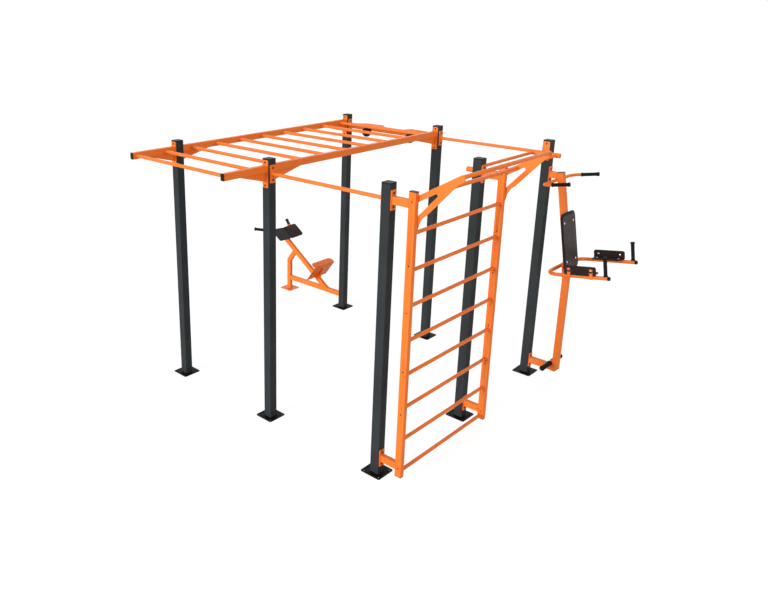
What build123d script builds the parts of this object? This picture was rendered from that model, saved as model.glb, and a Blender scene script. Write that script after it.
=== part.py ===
from build123d import *

import math
import os
from collections import namedtuple

# Outdoor workout complex on seven square posts.  X runs along the front row of
# posts, Y runs to the back row and Z is up.  The origin is on the ground under
# the front left post.  All lengths are in millimetres.

# Posts and their grid
PITCH = 1337.0              # centre to centre of neighbouring posts, in X and in Y
POST_HEIGHT = 2600.0        # ground to the top of the plastic cap
POST_SIDE = 86.0
POST_WALL = 3.0
POST_CORNER_RADIUS = 3.0
BASE_SIDE = 206.0
BASE_THICK = 8.0
BASE_CORNER_RADIUS = 16.0
BASE_HOLE_PITCH = 158.0
BASE_HOLE_DIA = 14.0
POST_CAP_THICK = 10.0
POST_PLUG_LENGTH = 12.0     # stays clear of the upper bolts

# Box-section steel of the frames that hang between the posts
TUBE_DEEP = 64.0
TUBE_WIDE = 44.0
SQUARE_SIDE = 62.0          # square tube of the tower and the bench
TUBE_WALL = 3.0
TUBE_CORNER_RADIUS = 2.5
END_CAP_THICK = 5.0
PLUG_LENGTH = 20.0          # how far a plastic plug reaches into its tube
PLUG_GAP = 0.3              # play round a plug

# Plates that bolt the frames to the posts
PLATE_WIDE = 66.0
PLATE_THICK = 8.0
PLATE_CORNER_RADIUS = 6.0
TALL_PLATE = 250.0
TALL_BOLT_SPREAD = 210.0
SHORT_PLATE = 165.0
SHORT_BOLT_SPREAD = 110.0
LOW_PLATE = 160.0
LOW_BOLT_SPREAD = 110.0
DIP_PLATE = 190.0
DIP_BOLT_SPREAD = 150.0
BOLT_DIA = 10.0
BOLT_PLAY = 0.5             # radial play of a bolt in its hole
BOLT_HEAD_WIDE = 16.0       # across the corners it is wider by the hexagon
BOLT_HEAD_THICK = 6.5
BOLT_TAIL = 9.0             # bolt beyond the wall that it passes
PLATE_DROP = 138.0          # top of a post down to the middle of its upper plates
PLATE_HEIGHT = POST_HEIGHT - PLATE_DROP

# Overhead ladder between the two left rows of posts
RAIL_RISE = 48.0            # the rails' axis above the middle of their plates
RAIL_HEIGHT = PLATE_HEIGHT + RAIL_RISE
STUB_REACH = 556.0          # front row of posts to the rails' capped ends
RUNG_DIA = 33.7
RUNG_WALL = 2.6
LADDER_RUNGS = 10
RUNG_STEPS_PER_PITCH = 4
FIRST_RUNG_STEP = -1.5
LADDER_RUNG_DROP = 2.0      # the rungs' axis below the rails' axis
GUSSET_THICK = 8.0
GUSSET_REACH = 400.0        # from the post's axis
STUB_GUSSET_REACH = 354.0
GUSSET_DROP = 88.0
GUSSET_NOSE = 6.0           # blunt tip of a gusset

# Single bars
HIGH_BAR_DIA = 33.7
BEAM_RISE = 3.0             # the back beam's axis above the middle of its plates
BACK_BEAM_HEIGHT = PLATE_HEIGHT + BEAM_RISE
BEAM_BOLT_SPREAD = 125.0    # the beam's plates have their bolts further apart
BALL_DIA = 115.0
BALL_OFFSET = 321.0         # middle of the beam to a ball grip's centre
BALL_FORWARD = 43.0         # the beam's axis to the ball's centre, towards the front row
BALL_DROP = 47.0            # the beam's axis down to the ball's centre
HANDLE_DIA = 32.0           # bent handles behind the back beam
HANDLE_BEND = 60.0
HANDLE_RISE = 10.0          # the handles' axis above the beam's axis
HANDLE_ALONG = (78.0, 215.0, 470.0, 515.0)   # from the post's axis, along the beam
HANDLE_BEHIND = (20.0, 128.0, 150.0, 20.0)   # from the beam's axis, to the back

# Wall bars on the right side
STILE_OFFSET = 236.0        # post axis to stile axis
STILE_BOTTOM = 60.0
STILE_TOP_DROP = 37.0       # top of a post down to the stiles' capped tops
STILE_TOP = POST_HEIGHT - STILE_TOP_DROP
WALL_RUNG_DIA = 32.0
WALL_RUNGS = 8
WALL_RUNG_START = 104.0
WALL_RUNG_STEP = 303.0
LOW_PLATE_HEIGHT = 155.0
STILE_TOP_BOLT_RISE = 23.0  # the highest stile bolt above the middle of the upper plates
STILE_BOLT_HEIGHTS = (142.0, 661.0, 1052.0, 1571.0, 1966.0, PLATE_HEIGHT + STILE_TOP_BOLT_RISE)

# Overhang over the wall bars: two cut plates that carry two bars
BRACKET_THICK = 8.0
BRACKET_LAP = 48.0          # part of the plate that lies on the stile's side
BRACKET_SPINE = 6.0         # stile face back to the opening's hidden side
BRACKET_REACH = 384.0       # stile face to the tip
BRACKET_RISE = 71.0         # upper edge at the stile face above the middle of the plates
BRACKET_ROOT = PLATE_HEIGHT + BRACKET_RISE
BRACKET_ANGLE = 30.6
BRACKET_ARM = 52.0          # upright thickness of the upper arm
BRACKET_TIP = 64.0          # upright thickness at the tip
BRACE_ANGLE = 47.5
BRACE_DROP = 162.0          # upper edge of the plate down to the brace's, at the stile face
BRACE_ROOT = BRACKET_ROOT - BRACE_DROP
BRACE_ARM = 49.0            # upright thickness of the brace
BRACKET_TALL = 281.0        # upper edge at the stile face down to the foot
BRACKET_FOOT = BRACKET_ROOT - BRACKET_TALL
BRACKET_FLARE = 91.0        # stile face to the end of the flared foot
FLARE_SHARES = (0.26, 0.5)  # a point of the flare, as shares of its run and rise
OPENING_RADIUS = 7.0
TIP_RADIUS = 22.0
OVERHANG_DIA = 33.7
OVERHANG_WALL = 2.6
INNER_BAR_X = 84.0          # stile face to the inner bar
INNER_BAR_RISE = 22.0       # the inner bar's axis above the upper edge's root
INNER_BAR_Z = BRACKET_ROOT + INNER_BAR_RISE
OUTER_BAR_X = 362.0
OUTER_BAR_RISE = 193.0
OUTER_BAR_Z = BRACKET_ROOT + OUTER_BAR_RISE

# Parallel bars between the middle and the back post on the right
DIP_PIPE_DIA = 48.3
DIP_PIPE_WALL = 2.9
DIP_PIPE_HALF = 165.0
DIP_BAR_DIA = 42.4
DIP_BAR_HALF_GAP = 125.0
DIP_RISE = 3.0              # the parallel bars' axis above the middle of the upper plates
DIP_HEIGHT = PLATE_HEIGHT + DIP_RISE
DIP_PLATE_RISE = 30.0       # their plates reach higher than the other ones
PIPE_CAP_THICK = 3.0
DIP_PIPE_SINK = 1.0         # the pipe's flat where it is welded to its plate

# Knee-raise tower on the back right post
MAST_OFFSET = 342.0         # post axis to the mast's axis
MAST_BOTTOM = 122.0
MAST_TOE = 26.0             # chamfer at the mast's foot
MAST_BEND = 1313.0
MAST_LEAN = 10.5
MAST_UPPER = 993.0          # bend to the top of the cap
TOWER_PLATE_HEIGHT = 2251.0
TOWER_LOW_HEIGHT = 156.0
HEEL_BELOW = 210.0          # heel plate below and above the bend
HEEL_ABOVE = 110.0
ARM_DIA = 38.0
ARM_WALL = 2.6
ARM_HALF = 337.0
ARM_LEAN = 9.4              # rise of the arms towards their front ends
ARM_LEVEL = 10.0            # arm tube's axis above the mast's bend, square to the arms
ARM_BACK = 78.0             # mast axis to the rear run of the arm tube
ARM_FRONT = 575.0
ARM_BEND = 141.0
HAND_POST_DIA = 28.0
HAND_POST_AT = 534.0
HAND_GRIP_DIA = 36.0
HAND_GRIP_TOP = 203.0
GRIP_CROWN = 8.0            # rubber over the end of a grip's tube
GRIP_PLAY = 0.3
BOARD_THICK = 12.0
BACK_BOARD_WIDE = 320.0
BACK_BOARD_LOW = -20.0
BACK_BOARD_HIGH = 580.0
BACK_BOARD_RADIUS = 60.0
BOARD_BEVEL = 30.0
BOARD_BEVEL_DEPTH = 4.0
BACK_STRAP_HALF = 120.0
STRAP_WIDE = 40.0
STRAP_THICK = 4.0
BACK_BOLT_HALF = 98.0
BACK_BOLT_LOW = 80.0
BACK_BOLT_HIGH = 480.0
ARM_BOARD_START = 143.0
ARM_BOARD_LENGTH = 292.0
ARM_BOARD_TOP = 117.0
ARM_BOARD_RADIUS = 20.0
ARM_REST_INNER = 250.0
ARM_STRAP_INNER = 270.0
ARM_STRAPS = (180.0, 400.0)
ARM_TAB_HIGH = 84.0
ARM_TAB_WIDE = 32.0
ARM_BOLT_HEIGHT = 67.0
ARM_REST_BOLT = 306.0
BOARD_BOLT_DIA = 8.0
BOARD_BOLT_HEAD = 22.0
BOARD_BOLT_DOME = 5.0
BOARD_BOLT_TAPER = 25.0
BOARD_BOLT_TAIL = 5.0       # shank beyond the strap
CHIN_DIA = 32.0
CHIN_WALL = 2.6
CHIN_HALF = 334.0
CHIN_AT = 914.0
CHIN_BEND = 75.0
CHIN_REACH = 240.0
CHIN_SINK = 1.0             # the cross run's flat where it is welded to the mast's back
CHIN_GRIP_START = 46.0
CHIN_GRIP_DIA = 38.0
PEG_CORE_DIA = 38.0
PEG_DIA = 54.0
PEG_HALF = 219.0
PEG_GRIP_START = 32.0
PEG_BEHIND = 22.0           # the mast's back face to the foot bar's axis

# Incline bench on the back left post
BENCH_TUBE_HEIGHT = 170.0   # axis of the tube near the ground
BENCH_UPRIGHT = 1005.0      # post axis to the upright's axis
BENCH_BEND = 430.0
BENCH_FOOT_SIDE = 198.0
BENCH_FOOT_THICK = 6.0
BENCH_FOOT_HOLE_PITCH = 150.0
BENCH_ANGLE = 35.5
BENCH_HEEL = 245.0          # post axis to where the bench line leaves the low tube
BEAM_TOP = -20.0            # beam's upper face below the bench line
BEAM_END = 1165.0
FOOTREST_AT = 255.0
FOOTREST_THICK = 5.0
FOOTREST_HALF = 199.0
FOOTREST_LOW = -63.0
FOOTREST_HIGH = 202.0
FLANGE_LENGTH = 91.0
FLANGE_DROP = 15.0
FLANGE_RADIUS = 52.0
RIB_HIGH = 150.0
RIB_LENGTH = 65.0
BOARD_AT = 915.0
BENCH_BOARD_LENGTH = 211.0
BENCH_BOARD_WIDE = 231.0
BENCH_BOARD_GAP = 6.0
BENCH_BOARD_TILT = 5.0
BENCH_BOARD_LEVEL = 30.0
BENCH_BOARD_RADIUS = 28.0
CROSS_WIDE = 60.0
CROSS_HALF = 190.0
CROSS_THICK = 5.0
HORN_DIA = 32.0
HORN_WALL = 2.6
HORN_ROOT = 1108.0          # along the bench line, under the boards' upper end
HORN_SHOULDER = 185.0
HORN_TIP_BACK = 1391.0      # post axis to the tip
HORN_TIP_HALF = 334.0
HORN_TIP_HEIGHT = 874.0
HORN_BEND = 60.0
HORN_GRIP_LENGTH = 206.0
HORN_GRIP_DIA = 38.0

CUT_OVERRUN = 1.0           # how far a cutting shape runs past what it cuts

POSTS = {
    "post_front_left": (0, 0),
    "post_front_middle": (1, 0),
    "post_front_right": (2, 0),
    "post_middle_right": (2, 1),
    "post_back_left": (0, 2),
    "post_back_middle": (1, 2),
    "post_back_right": (2, 2),
}

# A bolted plate: its post, the way it faces, its middle height, its height and
# the distance between its two bolts
Seat = namedtuple("Seat", "post face middle height spread")
LEFT, RIGHT, FRONT, BACK = (-1, 0), (1, 0), (0, -1), (0, 1)


def tall(post, face):
    return Seat(post, face, PLATE_HEIGHT, TALL_PLATE, TALL_BOLT_SPREAD)


def short(post, face, middle=PLATE_HEIGHT):
    return Seat(post, face, middle, SHORT_PLATE, SHORT_BOLT_SPREAD)


def low(post, face, middle=LOW_PLATE_HEIGHT):
    return Seat(post, face, middle, LOW_PLATE, LOW_BOLT_SPREAD)


def dip_seat(post, face):
    return Seat(post, face, PLATE_HEIGHT + DIP_PLATE_RISE, DIP_PLATE, DIP_BOLT_SPREAD)


SEATS = {
    "stub_left": tall("post_front_left", FRONT),
    "stub_right": tall("post_front_middle", FRONT),
    "rail_left_front": tall("post_front_left", BACK),
    "rail_left_back": tall("post_back_left", FRONT),
    "rail_right_front": tall("post_front_middle", BACK),
    "rail_right_back": tall("post_back_middle", FRONT),
    "bar_front_left": short("post_front_middle", RIGHT),
    "bar_front_right": short("post_front_right", LEFT),
    "bar_back_left": short("post_back_middle", RIGHT),
    "bar_back_right": short("post_back_right", LEFT),
    "beam_left": short("post_back_left", RIGHT)._replace(spread=BEAM_BOLT_SPREAD),
    "beam_right": short("post_back_middle", LEFT)._replace(spread=BEAM_BOLT_SPREAD),
    "wall_front_top": short("post_front_right", RIGHT),
    "wall_front_low": low("post_front_right", RIGHT),
    "wall_back_top": short("post_middle_right", RIGHT),
    "wall_back_low": low("post_middle_right", RIGHT),
    "dip_front": dip_seat("post_middle_right", BACK),
    "dip_back": dip_seat("post_back_right", FRONT),
    "tower_top": short("post_back_right", RIGHT, TOWER_PLATE_HEIGHT),
    "tower_low": low("post_back_right", RIGHT, TOWER_LOW_HEIGHT),
    "bench": short("post_back_left", LEFT, BENCH_TUBE_HEIGHT),
}

PLATE_FACE = POST_SIDE / 2 + PLATE_THICK


def place_of(post):
    column, row = POSTS[post]
    return column * PITCH, row * PITCH


def seat_plane(seat):
    """The post's face: x along the face, y up and z away from the post."""
    x, y = place_of(seat.post)
    face_x, face_y = seat.face
    origin = (x + face_x * POST_SIDE / 2, y + face_y * POST_SIDE / 2, seat.middle)
    return Plane(origin=origin, x_dir=(-face_y, face_x, 0), z_dir=(face_x, face_y, 0))


def bolt_spots(seat):
    return [(0, -seat.spread / 2), (0, seat.spread / 2)]


def bolt_holes(seat):
    """The round holes of both bolts, through the plate and the post's wall."""
    start = seat_plane(seat).offset(-POST_WALL - CUT_OVERRUN)
    depth = POST_WALL + PLATE_THICK + 2 * CUT_OVERRUN
    holes = Sketch() + [Pos(*spot) * Circle(BOLT_DIA / 2 + BOLT_PLAY) for spot in bolt_spots(seat)]
    return extrude(start * holes, depth)


def seat_plate(seat):
    outline = RectangleRounded(PLATE_WIDE, seat.height, PLATE_CORNER_RADIUS)
    return extrude(seat_plane(seat) * outline, PLATE_THICK) - bolt_holes(seat)


def hexagon(plane, thick):
    return extrude(plane * RegularPolygon(BOLT_HEAD_WIDE / 2, 6, major_radius=False), thick)


def hex_bolt(plane, grip):
    """A hexagon bolt whose head sits on the plane and whose shank goes down."""
    return hexagon(plane, BOLT_HEAD_THICK) + extrude(plane * Circle(BOLT_DIA / 2), -grip)


def seat_bolts(seat):
    face = seat_plane(seat).offset(PLATE_THICK)
    grip = PLATE_THICK + POST_WALL + BOLT_TAIL
    return [hex_bolt(Plane(face.location * Pos(*spot)), grip) for spot in bolt_spots(seat)]


def box_run(start, end, width_dir, wide=TUBE_WIDE, deep=TUBE_DEEP, hollow=True):
    """A box tube from start to end whose narrow side lies along width_dir."""
    run = Vector(*end) - Vector(*start)
    plane = Plane(origin=start, x_dir=width_dir, z_dir=run)
    section = RectangleRounded(wide, deep, TUBE_CORNER_RADIUS)
    if hollow:
        section -= Rectangle(wide - 2 * TUBE_WALL, deep - 2 * TUBE_WALL)
    return extrude(plane * section, run.length)


def round_run(start, end, diameter, wall=0):
    run = Vector(*end) - Vector(*start)
    plane = Plane(origin=start, z_dir=run)
    section = Circle(diameter / 2)
    if wall:
        section -= Circle(diameter / 2 - wall)
    return extrude(plane * section, run.length)


def bent_pipe(points, bends, diameter, wall):
    """A round tube along straight runs with rounded bends."""
    path = FilletPolyline(*points, radius=bends)
    start = Plane(origin=path @ 0, z_dir=path % 0)
    outer = sweep(start * Circle(diameter / 2), path)
    return outer - sweep(start * Circle(diameter / 2 - wall), path)


def square_run(start, end, width_dir, hollow=True):
    return box_run(start, end, width_dir, SQUARE_SIDE, SQUARE_SIDE, hollow)


def box_cap(plane, wide=TUBE_WIDE, deep=TUBE_DEEP):
    """A plastic plug: its plate stands on the plane and its body goes down."""
    plate = extrude(plane * RectangleRounded(wide, deep, TUBE_CORNER_RADIUS), END_CAP_THICK)
    shrink = 2 * (TUBE_WALL + PLUG_GAP)
    return plate + extrude(plane * Rectangle(wide - shrink, deep - shrink), -PLUG_LENGTH)


def round_cap(plane, diameter, wall):
    plate = extrude(plane * Circle(diameter / 2), PIPE_CAP_THICK)
    return plate + extrude(plane * Circle(diameter / 2 - wall - PLUG_GAP), -PLUG_LENGTH)


def grip_sleeve(start, end, diameter, core):
    """A rubber grip over a tube, closed at its far end."""
    length = (Vector(*end) - Vector(*start)).length
    plane = Plane(origin=start, z_dir=Vector(*end) - Vector(*start))
    body = extrude(plane * Circle(diameter / 2), length)
    bore = extrude(plane * Circle(core / 2 + GRIP_PLAY), length - GRIP_CROWN)
    return body - bore


def make_post(name):
    x, y = place_of(name)
    top = POST_HEIGHT - POST_CAP_THICK
    section = RectangleRounded(POST_SIDE, POST_SIDE, POST_CORNER_RADIUS)
    section -= Rectangle(POST_SIDE - 2 * POST_WALL, POST_SIDE - 2 * POST_WALL)
    holes = [
        Pos(i * BASE_HOLE_PITCH / 2, j * BASE_HOLE_PITCH / 2) * Circle(BASE_HOLE_DIA / 2)
        for i in (-1, 1) for j in (-1, 1)
    ]
    base = extrude(RectangleRounded(BASE_SIDE, BASE_SIDE, BASE_CORNER_RADIUS) - holes, BASE_THICK)
    tube = extrude(Plane.XY.offset(BASE_THICK) * section, top - BASE_THICK)
    post = Pos(x, y, 0) * (base + tube)
    for seat in SEATS.values():
        if seat.post == name:
            post -= bolt_holes(seat)
    return post


def make_post_cap(name):
    x, y = place_of(name)
    plane = Plane(origin=(x, y, POST_HEIGHT - POST_CAP_THICK))
    plate = extrude(plane * RectangleRounded(POST_SIDE, POST_SIDE, POST_CORNER_RADIUS), POST_CAP_THICK)
    inner = POST_SIDE - 2 * (POST_WALL + PLUG_GAP)
    return plate + extrude(plane * Rectangle(inner, inner), -POST_PLUG_LENGTH)


def gusset(x, root_y, tip_y):
    """The triangle under a rail, from the plate towards the middle of the rail."""
    under = RAIL_HEIGHT - TUBE_DEEP / 2
    outline = Polyline((root_y, under), (tip_y, under), (tip_y, under - GUSSET_NOSE),
                       (root_y, under - GUSSET_DROP), close=True)
    plane = Plane(origin=(x, 0, 0), x_dir=(0, 1, 0), z_dir=(1, 0, 0))
    return extrude(plane * make_face(outline), GUSSET_THICK / 2, both=True)


def ladder_rail(x, front, back):
    start_y = PLATE_FACE
    end_y = 2 * PITCH - PLATE_FACE
    rail = box_run((x, start_y, RAIL_HEIGHT), (x, end_y, RAIL_HEIGHT), (1, 0, 0))
    rail += [seat_plate(front), seat_plate(back)]
    rail += gusset(x, start_y, GUSSET_REACH)
    return rail + gusset(x, end_y, 2 * PITCH - GUSSET_REACH)


def ladder_stub(x, seat):
    end_y = -STUB_REACH + END_CAP_THICK
    stub = box_run((x, -PLATE_FACE, RAIL_HEIGHT), (x, end_y, RAIL_HEIGHT), (1, 0, 0))
    return stub + seat_plate(seat) + gusset(x, -PLATE_FACE, -STUB_GUSSET_REACH)


def ladder_rungs():
    rungs = []
    height = RAIL_HEIGHT - LADDER_RUNG_DROP
    for count in range(LADDER_RUNGS):
        y = (FIRST_RUNG_STEP + count) * PITCH / RUNG_STEPS_PER_PITCH
        ends = (TUBE_WIDE / 2, y, height), (PITCH - TUBE_WIDE / 2, y, height)
        rungs.append(round_run(*ends, RUNG_DIA, RUNG_WALL))
    return rungs


def ladder_caps():
    y = -STUB_REACH + END_CAP_THICK
    planes = [Plane(origin=(x, y, RAIL_HEIGHT), x_dir=(1, 0, 0), z_dir=(0, -1, 0)) for x in (0, PITCH)]
    return [box_cap(plane) for plane in planes]


def high_bar(left, right):
    x1, y = place_of(left.post)
    x2 = place_of(right.post)[0]
    ends = (x1 + PLATE_FACE, y, left.middle), (x2 - PLATE_FACE, y, right.middle)
    return round_run(*ends, HIGH_BAR_DIA, RUNG_WALL) + seat_plate(left) + seat_plate(right)


def beam_run(left, right, hollow=True):
    x1, y = place_of(left.post)
    x2 = place_of(right.post)[0]
    ends = (x1 + PLATE_FACE, y, BACK_BEAM_HEIGHT), (x2 - PLATE_FACE, y, BACK_BEAM_HEIGHT)
    return box_run(*ends, (0, 1, 0), hollow=hollow)


def back_beam(left, right):
    return beam_run(left, right) + seat_plate(left) + seat_plate(right)


def ball_grips(left, right):
    """Two balls under the front edge of the beam, cut to its corner."""
    beam = beam_run(left, right, hollow=False)
    y = 2 * PITCH - BALL_FORWARD
    spots = [(PITCH / 2 + side * BALL_OFFSET, y, BACK_BEAM_HEIGHT - BALL_DROP) for side in (-1, 1)]
    return [Pos(*spot) * Sphere(BALL_DIA / 2) - beam for spot in spots]


def back_handles(left, right):
    """Two bent handles that leave the beam's back face and come back to it."""
    beam = beam_run(left, right, hollow=False)
    z = BACK_BEAM_HEIGHT + HANDLE_RISE
    handles = []
    for start, side in ((0, 1), (PITCH, -1)):
        points = [(start + side * x, 2 * PITCH + y, z) for x, y in zip(HANDLE_ALONG, HANDLE_BEHIND)]
        handles.append(bent_pipe(points, HANDLE_BEND, HANDLE_DIA, RUNG_WALL) - beam)
    return handles


STILE_X = 2 * PITCH + STILE_OFFSET
STILE_FACE = STILE_X + TUBE_DEEP / 2
STILE_ROWS = (0, PITCH)


def stile(y):
    start = (STILE_X, y, STILE_BOTTOM + END_CAP_THICK)
    end = (STILE_X, y, STILE_TOP - END_CAP_THICK)
    tube = box_run(start, end, (0, 1, 0))
    for plane in stile_bolt_planes(y):
        hole = Circle(BOLT_DIA / 2 + BOLT_PLAY)
        tube -= extrude(plane.offset(CUT_OVERRUN) * hole, -TUBE_WIDE - 2 * CUT_OVERRUN)
    return tube


def stile_bolt_planes(y):
    spots = [(STILE_X, y - TUBE_WIDE / 2, z) for z in STILE_BOLT_HEIGHTS]
    return [Plane(origin=spot, x_dir=(1, 0, 0), z_dir=(0, -1, 0)) for spot in spots]


def stile_bolts():
    """Through bolts of the stiles, each with its nut; the highest also hold the brackets."""
    bolts = []
    for y in STILE_ROWS:
        for plane in stile_bolt_planes(y):
            grip = TUBE_WIDE + (BRACKET_THICK if plane.origin.Z > BRACKET_FOOT else 0)
            bolt = hex_bolt(plane, grip + BOLT_TAIL)
            bolts.append(bolt + hexagon(plane.offset(-grip), -BOLT_HEAD_THICK))
    return bolts


def stile_caps():
    caps = []
    for y in STILE_ROWS:
        top = (STILE_X, y, STILE_TOP - END_CAP_THICK)
        bottom = (STILE_X, y, STILE_BOTTOM + END_CAP_THICK)
        caps.append(box_cap(Plane(origin=top, x_dir=(0, 1, 0), z_dir=(0, 0, 1))))
        caps.append(box_cap(Plane(origin=bottom, x_dir=(0, 1, 0), z_dir=(0, 0, -1))))
    return caps


def wall_bar_mount(seat, height):
    """A plate on the post with the short tube that holds the stile off it."""
    x, y = place_of(seat.post)
    tube = box_run((x + PLATE_FACE, y, height), (STILE_X - TUBE_DEEP / 2, y, height), (0, 1, 0))
    return tube + seat_plate(seat)


def wall_bar_rungs():
    rungs = []
    for count in range(WALL_RUNGS):
        z = WALL_RUNG_START + count * WALL_RUNG_STEP
        ends = (STILE_X, TUBE_WIDE / 2, z), (STILE_X, PITCH - TUBE_WIDE / 2, z)
        rungs.append(round_run(*ends, WALL_RUNG_DIA, RUNG_WALL))
    return rungs


def rise(run, angle):
    return run * math.tan(math.radians(angle))


def overhang_bracket(y):
    """A cut plate on the stile's side: an arm and a flared brace round an open triangle."""
    def upper(x, drop=0):
        return x, BRACKET_ROOT + rise(x, BRACKET_ANGLE) - drop

    def brace(x, drop=0):
        return x, BRACE_ROOT + rise(x, BRACE_ANGLE) - drop

    slopes = rise(1, BRACE_ANGLE) - rise(1, BRACKET_ANGLE)
    knee = (BRACKET_ROOT - BRACKET_TIP - BRACE_ROOT + BRACE_ARM) / slopes
    apex = (BRACKET_ROOT - BRACKET_ARM - BRACE_ROOT) / slopes
    flare_end = brace(BRACKET_FLARE, BRACE_ARM)
    flare_rise = flare_end[1] - BRACKET_FOOT
    flare_mid = BRACKET_FLARE * FLARE_SHARES[0], BRACKET_FOOT + flare_rise * FLARE_SHARES[1]
    with BuildSketch(Plane(origin=(STILE_FACE, y, 0), x_dir=(1, 0, 0), z_dir=(0, -1, 0))) as plate:
        with BuildLine():
            Polyline((0, BRACKET_FOOT), (-BRACKET_LAP, BRACKET_FOOT), (-BRACKET_LAP, BRACKET_ROOT),
                     upper(0), upper(BRACKET_REACH), upper(BRACKET_REACH, BRACKET_TIP),
                     upper(knee, BRACKET_TIP), flare_end)
            ThreePointArc(flare_end, flare_mid, (0, BRACKET_FOOT))
        make_face()
        fillet(plate.vertices().sort_by(Axis.X)[-2:], TIP_RADIUS)
        with BuildSketch(mode=Mode.PRIVATE) as opening:
            with BuildLine():
                Polyline(brace(-BRACKET_SPINE), upper(-BRACKET_SPINE, BRACKET_ARM),
                         upper(apex, BRACKET_ARM), close=True)
            make_face()
            fillet(opening.vertices().sort_by(Axis.X)[-1], OPENING_RADIUS)
        add(opening.sketch, mode=Mode.SUBTRACT)
    hole = Circle(BOLT_DIA / 2 + BOLT_PLAY)
    top_bolt = Plane(origin=(STILE_X, y, STILE_BOLT_HEIGHTS[-1]), z_dir=(0, -1, 0))
    return extrude(plate.sketch, -BRACKET_THICK) - extrude(top_bolt * hole, BRACKET_THICK, both=True)


def overhang_bar(x, z):
    near = TUBE_WIDE / 2 + BRACKET_THICK
    ends = (STILE_FACE + x, near, z), (STILE_FACE + x, PITCH + TUBE_WIDE / 2, z)
    return round_run(*ends, OVERHANG_DIA, OVERHANG_WALL)


def dip_pipe_y(seat):
    y = place_of(seat.post)[1]
    return y + seat.face[1] * (PLATE_FACE + DIP_PIPE_DIA / 2 - DIP_PIPE_SINK)


def dip_pipe(seat):
    """The cross pipe of the parallel bars with its welded end discs and its plate."""
    x = place_of(seat.post)[0]
    y = dip_pipe_y(seat)
    half = DIP_PIPE_HALF - PIPE_CAP_THICK
    pipe = round_run((x - half, y, DIP_HEIGHT), (x + half, y, DIP_HEIGHT), DIP_PIPE_DIA, DIP_PIPE_WALL)
    for side in (-1, 1):
        ends = (x + side * half, y, DIP_HEIGHT), (x + side * DIP_PIPE_HALF, y, DIP_HEIGHT)
        pipe += round_run(*ends, DIP_PIPE_DIA)
    return pipe + seat_plate(seat)


def dip_bar(side):
    """A parallel bar, its ends cut to the round of the cross pipes."""
    front, back = SEATS["dip_front"], SEATS["dip_back"]
    x = place_of(front.post)[0] + side * DIP_BAR_HALF_GAP
    y1, y2 = dip_pipe_y(front), dip_pipe_y(back)
    bar = round_run((x, y1, DIP_HEIGHT), (x, y2, DIP_HEIGHT), DIP_BAR_DIA, RUNG_WALL)
    for y in (y1, y2):
        ends = (x - DIP_BAR_DIA, y, DIP_HEIGHT), (x + DIP_BAR_DIA, y, DIP_HEIGHT)
        bar -= round_run(*ends, DIP_PIPE_DIA)
    return bar


MAST_X = 2 * PITCH + MAST_OFFSET
MAST_Y = 2 * PITCH
MAST_BACK = MAST_X - SQUARE_SIDE / 2
LEAN = math.radians(MAST_LEAN)
# The leaning part of the tower: x points forward, y along the rows, z up the mast
UPPER = Plane(
    origin=(MAST_X, MAST_Y, MAST_BEND),
    x_dir=(math.cos(LEAN), 0, math.sin(LEAN)),
    z_dir=(-math.sin(LEAN), 0, math.cos(LEAN)),
)
RAKE = math.radians(ARM_LEAN)
# The arms: the same directions with their own rise, at the arm tube's axis
ARMS = Plane(
    origin=(MAST_X, MAST_Y, MAST_BEND),
    x_dir=(math.cos(RAKE), 0, math.sin(RAKE)),
    z_dir=(-math.sin(RAKE), 0, math.cos(RAKE)),
).offset(ARM_LEVEL)


def mitred(start, bend, end, hollow=True):
    """Two square tubes in the X-Z plane that meet at a mitre."""
    start, bend, end = Vector(*start), Vector(*bend), Vector(*end)
    first, second = (bend - start).normalized(), (end - bend).normalized()
    mitre = Plane(origin=bend, z_dir=first + second)
    lower = square_run(tuple(start), tuple(bend + first * SQUARE_SIDE), (0, 1, 0), hollow)
    upper = square_run(tuple(bend - second * SQUARE_SIDE), tuple(end), (0, 1, 0), hollow)
    lower = split(lower, bisect_by=mitre, keep=Keep.BOTTOM)
    return lower + split(upper, bisect_by=mitre, keep=Keep.TOP)


def mast_tube(hollow=True):
    """The mast's two legs; the filled form also takes the place of its end cap."""
    height = MAST_UPPER - END_CAP_THICK if hollow else MAST_UPPER
    top = UPPER.from_local_coords((0, 0, height))
    tube = mitred((MAST_X, MAST_Y, MAST_BOTTOM), (MAST_X, MAST_Y, MAST_BEND), tuple(top), hollow)
    front = MAST_X + SQUARE_SIDE / 2
    toe = Polyline((front, MAST_BOTTOM), (front, MAST_BOTTOM + MAST_TOE), (front - MAST_TOE, MAST_BOTTOM),
                   close=True)
    plane = Plane(origin=(0, MAST_Y, 0), x_dir=(1, 0, 0), z_dir=(0, -1, 0))
    return tube - extrude(plane * make_face(toe), SQUARE_SIDE, both=True)


def arm_tube():
    """The U of round tube that goes behind the mast and forward on both sides."""
    front = ARM_FRONT - PIPE_CAP_THICK
    points = [ARMS.from_local_coords(p) for p in (
        (front, -ARM_HALF, 0), (-ARM_BACK, -ARM_HALF, 0), (-ARM_BACK, ARM_HALF, 0), (front, ARM_HALF, 0))]
    return bent_pipe(points, ARM_BEND, ARM_DIA, ARM_WALL)


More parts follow.
